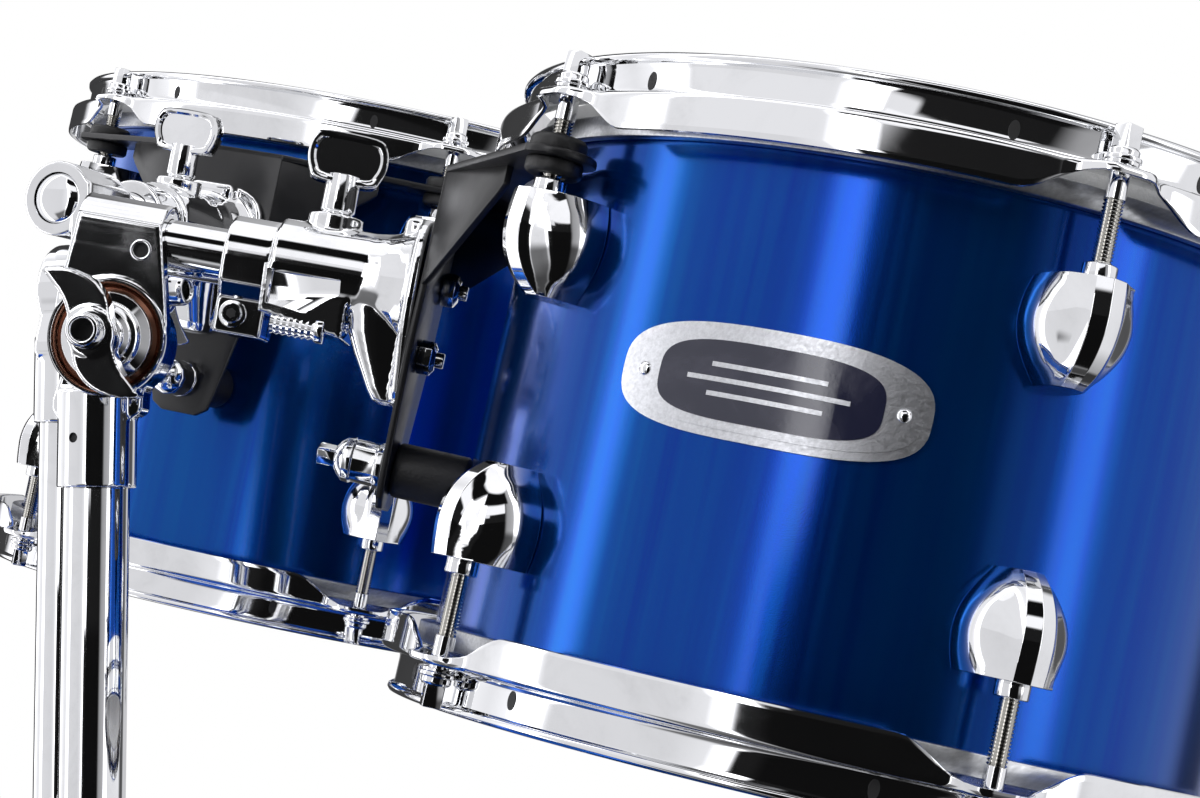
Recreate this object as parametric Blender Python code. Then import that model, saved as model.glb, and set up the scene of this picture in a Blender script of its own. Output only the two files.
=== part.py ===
"""The core of a drum kit: a bass drum that carries two rack toms on tilting holders.

Metres, +Z up. The bass drum lies along Y with its front head towards -Y and the player at +Y.
The kit stands on Z = 0. Every holder is a chain of empties that sit on its joint axes:
post, swivel, tilt, arm slide and tom roll.
"""
import math

import bmesh
import bpy
from mathutils import Matrix, Vector

# Fit between neighbouring pieces, and the widest angle that is shaded smooth
GAP = 0.0003
SMOOTH_ANGLE = math.radians(35)

# Kit layout: the bounding box of the whole kit is centred on the origin by this offset
KIT_X = 0.0294
KIT_Y = -0.0776

# Bass drum
BASS_RADIUS = 0.2795
BASS_DEPTH = 0.457
BASS_WALL = 0.0075
BASS_MIDDLE_Y = 0.030
BASS_STEPS = 48
BASS_HOOP_RADIUS = BASS_RADIUS + 0.011
BASS_HOOP_PROUD = 0.033
BASS_LUGS = 8
BASS_ROD_STANDOFF = 0.021
BASS_CENTRE_Z = BASS_HOOP_RADIUS * math.cos(math.pi / BASS_STEPS)

# Rack toms
TOM_WALL = 0.0065
TOM_STEPS = 36
TOM_ROD_STANDOFF = 0.0145
ARM_BELOW_EDGE = 0.060
HOOP_RISE = 0.012
ROD_RADIUS = 0.0032
LUG_FROM_EDGE = 0.033
LUG_LENGTH = 0.033
LUG_NECK = 0.0045
ROD_IN_LUG = 0.010
BORE_RADIUS = 0.0042

# Tom holders
POST_SPREAD = 0.049
POST_RADIUS = 0.0111
POST_FOOT_Z = 0.500
ARM_RADIUS = 0.0095
ARM_STEPS = 16
POST_STEPS = 16
CLUTCH_STEPS = 20
HINGE_AHEAD = 0.0065
ARM_ABOVE_HINGE = 0.034
PLATE_ALONG_ARM = 0.1005
PLATE_STANDOFF = 0.0255
PLATE_THICK = 0.0025
BRACKET_PITCH = math.radians(2.4)
CLUTCH_RADIUS = 0.0195
BUMPER_BELOW_ARM = 0.060
FLANGE_BELOW_EDGE = 0.0215

# Spurs
SPUR_Y = -0.060
SPUR_Z = 0.215
SPUR_OFFSET = 0.0300
SPUR_TIP_RADIUS = 0.0050
SPUR_SPLAY = math.radians(24)
SPUR_SWING = math.radians(30)


class Holder:
    """Where one tom hangs, and how its holder stands at rest."""

    def __init__(self, name, side, radius, depth, rods, yaw, slope, roll, hinge_z):
        self.name = name
        self.side = side
        self.radius = radius
        self.depth = depth
        self.rods = rods
        self.yaw = math.radians(yaw)
        self.slope = math.radians(slope)
        self.roll = math.radians(roll)
        self.hinge_z = hinge_z
        self.top_edge = ARM_BELOW_EDGE
        self.bottom_edge = ARM_BELOW_EDGE - depth
        self.rod_circle = radius + TOM_ROD_STANDOFF
        self.lug_angles = [math.pi + (k + 0.5) * math.tau / rods for k in range(rods)]


NEAR = Holder("near", 1, 0.127, 0.178, 5, yaw=69.0, slope=10.0, roll=-2.4, hinge_z=0.780)
FAR = Holder("far", -1, 0.1524, 0.203, 6, yaw=142.0, slope=0.7, roll=10.9, hinge_z=0.806)

BLUE = ("blue_lacquer", (0.0, 0.045, 0.42), 0.22, 0.35)
CHROME = ("chrome", (0.86, 0.87, 0.88), 0.07, 1.0)
BLACK_STEEL = ("black_steel", (0.012, 0.012, 0.013), 0.4, 0.2)
RUBBER = ("rubber", (0.015, 0.015, 0.015), 0.75, 0.0)
COATED_FILM = ("coated_film", (0.86, 0.86, 0.84), 0.55, 0.0)
CLEAR_FILM = ("clear_film", (0.75, 0.78, 0.80), 0.2, 0.0)
BLACK_FILM = ("black_film", (0.01, 0.01, 0.01), 0.3, 0.0)


def clear_scene():
    """Remove every object that the scene starts with."""
    for obj in list(bpy.data.objects):
        bpy.data.objects.remove(obj, do_unlink=True)


def new_collection(name):
    """A collection linked to the scene."""
    collection = bpy.data.collections.new(name)
    bpy.context.scene.collection.children.link(collection)
    return collection


def principled(finish):
    """The material of a finish: name, colour, roughness and metallic value."""
    name, colour, roughness, metallic = finish
    material = bpy.data.materials.get(name)
    if material:
        return material
    material = bpy.data.materials.new(name)
    material.use_nodes = True
    shader = material.node_tree.nodes["Principled BSDF"]
    shader.inputs["Base Color"].default_value = (*colour, 1.0)
    shader.inputs["Roughness"].default_value = roughness
    shader.inputs["Metallic"].default_value = metallic
    return material


def empty(name, parent=None, matrix=None):
    """An empty that carries the pieces of one joint."""
    obj = bpy.data.objects.new(name, None)
    KIT.objects.link(obj)
    obj.parent = parent
    obj.matrix_basis = matrix or Matrix()
    return obj


def add_part(name, mesh, finish, parent, matrix=None):
    """A named sub-part with its material, smooth where it is round."""
    obj = bpy.data.objects.new(name, mesh)
    KIT.objects.link(obj)
    mesh.materials.clear()
    mesh.materials.append(principled(finish))
    mesh.shade_smooth()
    mesh.set_sharp_from_angle(angle=SMOOTH_ANGLE)
    obj.parent = parent
    obj.matrix_basis = matrix or Matrix()
    return obj


def add_tool(name, mesh, parent, matrix=None):
    """A hidden shape that another part is joined to or cut by."""
    obj = bpy.data.objects.new(name, mesh)
    TOOLS.objects.link(obj)
    obj.hide_render = True
    obj.display_type = "WIRE"
    obj.parent = parent
    obj.matrix_basis = matrix or Matrix()
    return obj


def boolean(obj, tool, operation):
    """Join a part with a tool, or cut the part by it."""
    modifier = obj.modifiers.new(tool.name, "BOOLEAN")
    modifier.operation = operation
    modifier.object = tool
    modifier.solver = "EXACT"


def joined(obj, mesh, matrix=None):
    """Join a shape, given in the part's own frame, with a part."""
    tool = add_tool(obj.name + "_join", mesh, obj, matrix)
    boolean(obj, tool, "UNION")


def cut(obj, mesh, matrix=None):
    """Cut a shape, given in the part's own frame, out of a part."""
    tool = add_tool(obj.name + "_cut", mesh, obj, matrix)
    boolean(obj, tool, "DIFFERENCE")


def mesh_from(bm, name="shape"):
    """A mesh made from a bmesh, with its faces pointing out."""
    bmesh.ops.remove_doubles(bm, verts=bm.verts, dist=1e-6)
    bmesh.ops.recalc_face_normals(bm, faces=bm.faces)
    mesh = bpy.data.meshes.new(name)
    bm.to_mesh(mesh)
    bm.free()
    return mesh


def lathe(bm, profile, segments, matrix=None, closed=False):
    """Turn a profile of (radius, height) points about Z. An open one starts and ends on the axis."""
    verts = [bm.verts.new((radius, 0.0, height)) for radius, height in profile]
    pairs = list(zip(verts, verts[1:]))
    if closed:
        pairs.append((verts[-1], verts[0]))
    edges = [bm.edges.new(pair) for pair in pairs]
    bmesh.ops.spin(bm, geom=verts + edges, cent=(0, 0, 0), axis=(0, 0, 1), angle=math.tau,
                   steps=segments, use_merge=True, use_duplicate=False)
    fresh = [vert for vert in bm.verts if not vert.tag]
    bmesh.ops.remove_doubles(bm, verts=fresh, dist=1e-6)
    if matrix:
        fresh = [vert for vert in bm.verts if not vert.tag]
        bmesh.ops.transform(bm, matrix=matrix, verts=fresh)
    for vert in bm.verts:
        vert.tag = True


def turned_mesh(profile, segments, matrices=(Matrix(),), closed=False):
    """One turned shape, or copies of it that don't touch each other."""
    bm = bmesh.new()
    for matrix in matrices:
        lathe(bm, profile, segments, matrix, closed)
    return mesh_from(bm)


def cylinder_mesh(radius, low, high, segments=16, matrix=None):
    """A cylinder along Z from low to high."""
    bm = bmesh.new()
    place = (matrix or Matrix()) @ Matrix.Translation((0, 0, (low + high) / 2))
    bmesh.ops.create_cone(bm, cap_ends=True, segments=segments, radius1=radius, radius2=radius,
                          depth=high - low, matrix=place)
    return mesh_from(bm)


def box_mesh(low, high, bevel=0.0, matrices=(Matrix(),)):
    """Boxes from a low to a high corner, with their edges bevelled."""
    bm = bmesh.new()
    size = Vector(high) - Vector(low)
    middle = (Vector(high) + Vector(low)) / 2
    for matrix in matrices:
        place = matrix @ Matrix.Translation(middle) @ Matrix.Diagonal((*size, 1))
        bmesh.ops.create_cube(bm, size=1.0, matrix=place)
    if bevel:
        bmesh.ops.bevel(bm, geom=list(bm.edges), offset=bevel, affect="EDGES", segments=1, profile=0.5)
    return mesh_from(bm)


def plate_mesh(points, thickness, matrix=None):
    """A flat outline in XY with a thickness, centred on its plane."""
    curve = bpy.data.curves.new("outline", "CURVE")
    curve.dimensions = "2D"
    curve.fill_mode = "BOTH"
    curve.extrude = thickness / 2
    spline = curve.splines.new("POLY")
    spline.points.add(len(points) - 1)
    for point, (x, y) in zip(spline.points, points):
        point.co = (x, y, 0.0, 1.0)
    spline.use_cyclic_u = True
    obj = bpy.data.objects.new("outline", curve)
    TOOLS.objects.link(obj)
    graph = bpy.context.evaluated_depsgraph_get()
    mesh = bpy.data.meshes.new_from_object(obj.evaluated_get(graph))
    bpy.data.objects.remove(obj, do_unlink=True)
    bpy.data.curves.remove(curve)
    bm = bmesh.new()
    bm.from_mesh(mesh)
    bpy.data.meshes.remove(mesh)
    bmesh.ops.remove_doubles(bm, verts=bm.verts, dist=1e-6)
    if matrix:
        bmesh.ops.transform(bm, matrix=matrix, verts=bm.verts)
    return mesh_from(bm)


def baked_mesh(obj):
    """The mesh of an object with its modifiers applied. The object is removed."""
    bpy.context.view_layer.update()
    graph = bpy.context.evaluated_depsgraph_get()
    mesh = bpy.data.meshes.new_from_object(obj.evaluated_get(graph))
    for child in list(obj.children):
        bpy.data.objects.remove(child, do_unlink=True)
    bpy.data.objects.remove(obj, do_unlink=True)
    return mesh


def copies_mesh(mesh, matrices):
    """One mesh with a copy of another at each place."""
    bm = bmesh.new()
    for matrix in matrices:
        start = len(bm.verts)
        bm.from_mesh(mesh)
        bm.verts.ensure_lookup_table()
        bmesh.ops.transform(bm, matrix=matrix, verts=bm.verts[start:])
    return mesh_from(bm)


def arc(radius, start, end, count):
    """Points on an arc about the origin."""
    return [(radius * math.cos(start + (end - start) * k / (count - 1)),
             radius * math.sin(start + (end - start) * k / (count - 1))) for k in range(count)]


def turn(axis, angle):
    """A rotation about X, Y or Z."""
    return Matrix.Rotation(angle, 4, axis)


def move(x, y, z):
    """A translation."""
    return Matrix.Translation((x, y, z))


def shell_mesh(radius, wall, low, high, steps):
    """A drum shell, open at both ends."""
    profile = [(radius, high), (radius, low), (radius - wall, low), (radius - wall, high)]
    return turned_mesh(profile, steps, closed=True)


def head_mesh(radius, flesh_width, steps):
    """A drum head with its flesh hoop, which the hoop presses down. Its shell edge is at Z = 0."""
    film = 0.0010
    collar = radius + 0.0014
    flesh_top, flesh_foot = -0.0052, -0.0125
    profile = [(0, film), (collar, film), (collar, flesh_top), (radius + flesh_width, flesh_top),
               (radius + flesh_width, flesh_foot), (radius + 2 * GAP, flesh_foot), (radius + 2 * GAP, GAP),
               (0, GAP)]
    return turned_mesh(profile, steps)


def tom_hoop_mesh(radius):
    """A triple-flanged hoop: rolled rim, band, pressing flange and skirt."""
    profile = [(radius + 0.0108, HOOP_RISE), (radius + 0.0084, -0.0012), (radius + 0.0140, -0.0028),
               (radius + 0.0152, -0.0135), (radius + 0.0125, -0.0135), (radius + 0.0062, -0.0035),
               (radius + 0.0066, HOOP_RISE)]
    return turned_mesh(profile, TOM_STEPS, closed=True)


def tom_rod_profile():
    """A tension rod with its collar and square key head, from the lug up. The shell edge is at Z = 0."""
    low = -LUG_FROM_EDGE - ROD_IN_LUG
    return [(0, low), (ROD_RADIUS, low), (ROD_RADIUS, 0.0006), (0.0055, 0.0006), (0.0045, 0.0115),
            (0, 0.0115)]


def around(angles, radius):
    """The places of a shape that is repeated round a drum, its X pointing outwards."""
    return [turn("Z", angle) @ move(radius, 0, 0) for angle in angles]


def loft_mesh(sections, name="loft"):
    """A closed shape through rings of points that each have the same count."""
    bm = bmesh.new()
    rings = []
    for section in sections:
        verts = [bm.verts.new(point) for point in section]
        rings.append([bm.edges.new(pair) for pair in zip(verts, verts[1:] + verts[:1])])
    for lower, upper in zip(rings, rings[1:]):
        bmesh.ops.bridge_loops(bm, edges=lower + upper)
    for ring in (rings[0], rings[-1]):
        bmesh.ops.contextual_create(bm, geom=ring)
    return mesh_from(bm, name)


def lug_mesh(length, width, standoff, stages):
    """A faceted lug with a central ridge: its base is in the plane X = 0, its rod end at Z = 0."""
    outline = [(0, -0.42), (0.66, -0.38), (1.0, 0.0), (0.66, 0.38), (0, 0.42)]
    return loft_mesh([[(x * tall * standoff, y * wide * width, -along * length) for x, y in outline]
                      for along, wide, tall in stages], "lug")


def bored_lug_mesh(length, width, standoff, stages, at_rod, neck):
    """A lug with the bore that takes the tension rod, and with a neck if it has one."""
    lug = bpy.data.objects.new("lug", lug_mesh(length, width, standoff, stages))
    TOOLS.objects.link(lug)
    if neck:
        joined(lug, cylinder_mesh(0.0056, -0.004, neck, 8), move(at_rod, 0, 0))
    cut(lug, cylinder_mesh(BORE_RADIUS, -ROD_IN_LUG - 0.002, neck + 0.002, 8), move(at_rod, 0, 0))
    return baked_mesh(lug)


def tom_lug_places(tom, inset):
    """The places of the upper and lower lugs of a tom. The inset sinks their bases into the shell."""
    radius = tom.radius + GAP - inset
    upper = [turn("Z", angle) @ move(radius, 0, tom.top_edge - LUG_FROM_EDGE) for angle in tom.lug_angles]
    lower = [turn("Z", angle) @ move(radius, 0, tom.bottom_edge + LUG_FROM_EDGE) @ turn("X", math.pi)
             for angle in tom.lug_angles]
    return upper, lower


def build_tom(tom, frame):
    """A tom: shell, heads, hoops with their tension rods, and lugs."""
    low, high = tom.bottom_edge, tom.top_edge
    shell = add_part(tom.name + "_tom_shell", shell_mesh(tom.radius, TOM_WALL, low, high, TOM_STEPS),
                     BLUE, frame)
    stages = ((0, 1.0, 0.98), (0.32, 1.19, 1.0), (0.72, 0.98, 0.84), (1.0, 0.55, 0.40))
    sunk = 0.0 if tom is NEAR else 0.002
    lug = bored_lug_mesh(LUG_LENGTH, 0.026, 0.024, stages, TOM_ROD_STANDOFF - GAP + sunk, LUG_NECK)
    upper, lower = tom_lug_places(tom, sunk)
    if tom is NEAR:
        for row, places in (("upper", upper), ("lower", lower)):
            for number, place in enumerate(places, 1):
                add_part(f"{tom.name}_{row}_lug_{number}", lug.copy(), CHROME, frame, place)
    else:
        joined(shell, copies_mesh(lug, upper + lower))
    rods = around(tom.lug_angles, tom.rod_circle)
    turned = turn("X", math.pi)
    ends = (("batter", "top", move(0, 0, high)), ("resonant", "bottom", move(0, 0, low) @ turned))
    for head_name, hoop_name, place in ends:
        film = COATED_FILM if head_name == "batter" else CLEAR_FILM
        add_part(f"{tom.name}_tom_{head_name}_head", head_mesh(tom.radius, 0.0052, TOM_STEPS), film,
                 frame, place)
        mirrored = rods if hoop_name == "top" else around([-angle for angle in tom.lug_angles],
                                                          tom.rod_circle)
        hoop = add_part(f"{tom.name}_tom_{hoop_name}_hoop", tom_hoop_mesh(tom.radius), CHROME, frame, place)
        joined(hoop, box_mesh((-0.0075, -0.0110, -0.0030), (0.0085, 0.0110, -0.0004), 0.0, mirrored))
        joined(hoop, turned_mesh(tom_rod_profile(), 6, mirrored))


def build_plate(tom, frame):
    """The suspension plate, its rubber grommets, its bumper and the bumper's key bolt."""
    inner = tom.radius + PLATE_STANDOFF
    half = math.pi / tom.rods
    flange_z = tom.top_edge - FLANGE_BELOW_EDGE
    rod_x = -tom.rod_circle * math.cos(half)
    rod_y = tom.rod_circle * math.sin(half)
    ear = 0.0125
    strip_top, strip_foot = 0.024, 0.015
    outer = inner + PLATE_THICK
    back = arc(tom.radius + 0.0045, math.pi + half * 0.86, math.pi - half * 0.86, 9)
    ear_end = [(rod_x + ear * math.cos(a), rod_y + ear * math.sin(a))
               for a in [math.radians(d) for d in (-35, 20, 75, 130)]]
    side = ear_end + [(-outer, strip_top)]
    outline = back + side + [(x, -y) for x, y in reversed(side)]
    plate = add_part(tom.name + "_suspension_plate",
                     plate_mesh(outline, PLATE_THICK, move(0, 0, flange_z)), BLACK_STEEL, frame)
    foot_z = -BUMPER_BELOW_ARM - 0.014
    strip = [(flange_z, -strip_top), (flange_z, strip_top), (-0.020, strip_top),
             (foot_z + 0.006, strip_foot), (foot_z, strip_foot - 0.006), (foot_z, -strip_foot + 0.006),
             (foot_z + 0.006, -strip_foot), (-0.020, -strip_top)]
    upright = move(-inner - PLATE_THICK / 2, 0, 0) @ turn("Y", -math.pi / 2)
    joined(plate, plate_mesh(strip, PLATE_THICK, upright))
    reach = Vector((rod_x + inner, rod_y - strip_top)).length * 0.62
    heading = math.atan2(rod_y - strip_top, rod_x + inner)
    wing = [(-0.001, flange_z), (reach, flange_z), (reach, flange_z - 0.007), (-0.001, flange_z - 0.040)]
    for side_sign in (1, -1):
        place = move(-inner - PLATE_THICK / 2, side_sign * (strip_top - PLATE_THICK / 2), 0)
        place = place @ turn("Z", side_sign * heading) @ turn("X", math.pi / 2)
        joined(plate, plate_mesh(wing, PLATE_THICK, place))
    holes = [move(rod_x, sign * rod_y, 0) for sign in (1, -1)]
    over, below = flange_z + 0.01, flange_z - 0.01
    cut(plate, turned_mesh([(0, over), (0.0068, over), (0.0068, below), (0, below)], 10, holes))
    at_bumper = move(-inner - PLATE_THICK / 2, 0, -BUMPER_BELOW_ARM) @ turn("Y", math.pi / 2)
    cut(plate, cylinder_mesh(0.0038, -0.01, 0.01, 8, at_bumper))
    top, under = flange_z + PLATE_THICK / 2 + GAP, flange_z - PLATE_THICK / 2 - GAP
    ring = [(0.0088, top + 0.0048), (0.0088, top), (0.0062, top), (0.0062, under), (0.0088, under),
            (0.0088, under - 0.0046), (0.0040, under - 0.0046), (0.0040, top + 0.0048)]
    for side_name, place in zip(("left", "right"), holes):
        add_part(f"{tom.name}_grommet_{side_name}", turned_mesh(ring, 8, (place,), True), RUBBER, frame)
    along = move(-inner + GAP, 0, -BUMPER_BELOW_ARM) @ turn("Y", math.pi / 2)
    length = PLATE_STANDOFF - 2 * GAP
    bumper = [(0, length), (0.0092, length), (0.0092, 0), (0.0040, 0), (0.0040, 0.013), (0, 0.013)]
    add_part(tom.name + "_bumper", turned_mesh(bumper, 12, (along,)), RUBBER, frame)
    out = -PLATE_THICK - 2 * GAP
    bolt = [(0, 0.012), (0.0033, 0.012), (0.0033, out), (0.0078, out), (0.0078, out - 0.015),
            (0.0050, out - 0.017), (0.0030, out - 0.017), (0.0030, out - 0.0235), (0, out - 0.0235)]
    add_part(tom.name + "_bumper_bolt", turned_mesh(bolt, 8, (along,)), CHROME, frame)


def build_bracket(tom, frame, slide):
    """The bracket casting on the plate, its wing bolt, and the memory lock beside it."""
    face = -tom.radius - PLATE_STANDOFF - PLATE_THICK - GAP
    level = move(face, 0, 0) @ turn("Y", -BRACKET_PITCH)
    bracket = add_part(tom.name + "_tom_bracket",
                       box_mesh((-0.0050, -0.0230, -0.0400), (0.0, 0.0230, 0.0230), 0.0015),
                       CHROME, frame, move(face, 0, 0))
    lean = turn("Y", -BRACKET_PITCH)
    flare = [(0, -0.0020), (0.0225, -0.0020), (0.0165, -0.0170), (0.0165, -0.0510), (0, -0.0510)]
    along = lean @ turn("Y", math.pi / 2)
    joined(bracket, turned_mesh(flare, 16, (along,)))
    foot = [(-0.0020, -0.0380), (-0.0020, -0.0120), (-0.0400, -0.0120), (-0.0340, -0.0200),
            (-0.0180, -0.0215), (-0.0070, -0.0380)]
    joined(bracket, plate_mesh(foot, 0.0200, turn("X", math.pi / 2)))
    bolt_x = -0.0350
    joined(bracket, cylinder_mesh(0.0085, 0.010, 0.0200, 10, lean @ move(bolt_x, 0, 0)))
    cut(bracket, cylinder_mesh(0.0046, 0.0, 0.0300, 8, lean @ move(bolt_x, 0, 0)))
    cut(bracket, cylinder_mesh(ARM_RADIUS + 2 * GAP, -0.0560, -0.0070, ARM_STEPS, along))
    low = ARM_RADIUS + 3 * GAP
    wing = wing_bolt_mesh(low, 0.0203, 0.0320, 0.0130)
    add_part(tom.name + "_bracket_wing_bolt", wing, CHROME, frame, level @ move(bolt_x, 0, 0))
    lock_x = PLATE_ALONG_ARM - 0.0598
    strap = arc(0.0148, 0, math.pi, 9) + [(-0.0100, -0.0260), (0.0100, -0.0260)]
    lock = add_part(tom.name + "_memory_lock",
                    plate_mesh(strap, 0.0165, turn("Z", math.pi / 2) @ turn("X", math.pi / 2)),
                    CHROME, slide, move(lock_x, 0, 0))
    cut(lock, cylinder_mesh(ARM_RADIUS + 2 * GAP, -0.02, 0.02, ARM_STEPS, turn("Y", math.pi / 2)))


def wing_bolt_mesh(low, seat, top, half):
    """A wing bolt along Z: shank from low, collar at its seat, and a flat eight-sided handle."""
    bm = bmesh.new()
    shank = [(0, top), (0.0058, top), (0.0058, seat), (0.0040, seat), (0.0040, low), (0, low)]
    lathe(bm, shank, 8)
    bolt = bpy.data.objects.new("bolt", mesh_from(bm))
    TOOLS.objects.link(bolt)
    height = 0.017
    cut_corner = 0.0050
    right = [(half - cut_corner, top - 0.002), (half, top + cut_corner), (half, top + height - cut_corner),
             (half - cut_corner, top + height)]
    outline = right + [(-x, y) for x, y in reversed(right)]
    joined(bolt, plate_mesh(outline, 0.0085, turn("X", math.pi / 2)))
    return baked_mesh(bolt)


def build_tilter(tom, post, swivel, tilt):
    """The post, the two tilter castings, the arm and the tilter's wing nut."""
    sleeve_top = -0.0275
    sleeve_foot = -0.0500
    collar_z = sleeve_top + tom.hinge_z
    post_top = collar_z - 0.004
    add_part(tom.name + "_post", post_mesh(post_top), CHROME, post)
    across = turn("X", math.pi / 2)
    at_hinge = move(HINGE_AHEAD, 0, 0) @ across
    sleeve = cylinder_mesh(0.0132, sleeve_foot, sleeve_top + 0.006, POST_STEPS)
    lower = add_part(tom.name + "_tilter_lower", sleeve, CHROME, swivel)
    joined(lower, cylinder_mesh(CLUTCH_RADIUS - 0.001, -0.0075, 0.0060, CLUTCH_STEPS, at_hinge))
    joined(lower, box_mesh((-0.0100, -0.0060, -0.0260), (0.0135, 0.0074, -0.0100)))
    cut(lower, cylinder_mesh(POST_RADIUS + 2 * GAP, sleeve_foot - 0.01, sleeve_top, POST_STEPS))
    cut(lower, cylinder_mesh(0.0047, -0.02, 0.02, 10, at_hinge))
    upper = add_part(tom.name + "_tilter_upper",
                     cylinder_mesh(0.0140, -0.0270, 0.0110, ARM_STEPS, move(0, 0, ARM_ABOVE_HINGE) @
                                   turn("Y", math.pi / 2)), CHROME, tilt)
    web_low = 0.0066
    web_high = 0.0145
    disc = cylinder_mesh(CLUTCH_RADIUS, web_low, web_high, CLUTCH_STEPS, across)
    joined(upper, disc)
    web = [(-0.0190, 0.0040), (0.0185, 0.0060), (0.0105, ARM_ABOVE_HINGE + 0.004),
           (-0.0265, ARM_ABOVE_HINGE + 0.004)]
    joined(upper, plate_mesh(web, web_high - web_low - 0.0004,
                             turn("X", math.pi / 2) @ move(0, 0, (web_low + web_high) / 2)))
    cut(upper, cylinder_mesh(ARM_RADIUS + 2 * GAP, -0.0245, 0.02, ARM_STEPS, move(0, 0, ARM_ABOVE_HINGE) @
                             turn("Y", math.pi / 2)))
    cut(upper, cylinder_mesh(0.0047, -0.02, 0.03, 10, across))
    arm_end = PLATE_ALONG_ARM - 0.0200
    add_part(tom.name + "_arm", arm_mesh(-0.0240, arm_end), CHROME, tilt, move(0, 0, ARM_ABOVE_HINGE))
    add_part(tom.name + "_tilter_wing_nut", wing_nut_mesh(web_high + GAP), CHROME, tilt, across)


def post_mesh(top):
    """A tube that stands in the bass drum's receiver, open at its foot."""
    wall = 0.0020
    profile = [(0, top), (POST_RADIUS, top), (POST_RADIUS, POST_FOOT_Z), (POST_RADIUS - wall, POST_FOOT_Z),
               (POST_RADIUS - wall, top - 0.010), (0, top - 0.010)]
    return turned_mesh(profile, POST_STEPS)


def arm_mesh(start, end):
    """The arm tube along X, open at the tom's end."""
    wall = 0.0020
    profile = [(0, start), (ARM_RADIUS, start), (ARM_RADIUS, end), (ARM_RADIUS - wall, end),
               (ARM_RADIUS - wall, start + 0.010), (0, start + 0.010)]
    return turned_mesh(profile, ARM_STEPS, (turn("Y", math.pi / 2),))


def wing_nut_mesh(seat):
    """The tilter's wing nut on its bolt, along Z: washers, boss and two swept wings."""
    bolt = [(0, 0.0460), (0.0060, 0.0460), (0.0095, seat + 0.009), (0.0170, seat + 0.0035),
            (0.0170, seat), (0.0043, seat), (0.0043, -0.0140), (0, -0.0140)]
    nut = bpy.data.objects.new("nut", turned_mesh(bolt, 10))
    TOOLS.objects.link(nut)
    wing = [(0.002, -0.0085), (0.014, -0.0095), (0.0230, -0.0030), (0.0255, 0.0050), (0.0215, 0.0035),
            (0.0130, 0.0030), (0.004, 0.0075)]
    sweep = wing + [(-x, -y) for x, y in wing]
    place = move(0, 0, seat + 0.017) @ turn("Z", math.radians(-52))
    joined(nut, plate_mesh(sweep, 0.0090, place))
    return baked_mesh(nut)


def build_holder(tom, kit):
    """One holder with its tom, from the post to the tom's shell."""
    post = empty(tom.name + "_post_axis", kit, move(tom.side * POST_SPREAD, 0, 0))
    swivel = empty(tom.name + "_swivel_axis", post, move(0, 0, tom.hinge_z) @ turn("Z", tom.yaw))
    tilt = empty(tom.name + "_tilt_axis", swivel, move(HINGE_AHEAD, 0, 0) @ turn("Y", tom.slope))
    slide = empty(tom.name + "_arm_axis", tilt, move(0, 0, ARM_ABOVE_HINGE))
    roll = empty(tom.name + "_roll_axis", slide, move(PLATE_ALONG_ARM, 0, 0) @ turn("X", tom.roll))
    reach = tom.radius + PLATE_STANDOFF + PLATE_THICK
    frame = empty(tom.name + "_tom_frame", roll, turn("Y", BRACKET_PITCH) @ move(reach, 0, 0))
    build_tilter(tom, post, swivel, tilt)
    build_bracket(tom, frame, slide)
    build_plate(tom, frame)
    build_tom(tom, frame)


def bass_claw_places(flip):
    """The places of the claws, between the drum's lowest and highest points."""
    angles = [(k + 0.5) * math.tau / BASS_LUGS for k in range(BASS_LUGS)]
    return around([-angle if flip else angle for angle in angles], BASS_RADIUS)


def t_rod_mesh(places):
    """The claws' tension rods with their collars, along Z."""
    reach = ROD_IN_LUG
    profile = [(0, BASS_HOOP_PROUD + 0.012), (0.0050, BASS_HOOP_PROUD + 0.012),
               (ROD_RADIUS, -0.050 - reach), (0, -0.050 - reach)]
    return turned_mesh(profile, 6, [place @ move(BASS_ROD_STANDOFF, 0, 0) for place in places])


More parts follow.
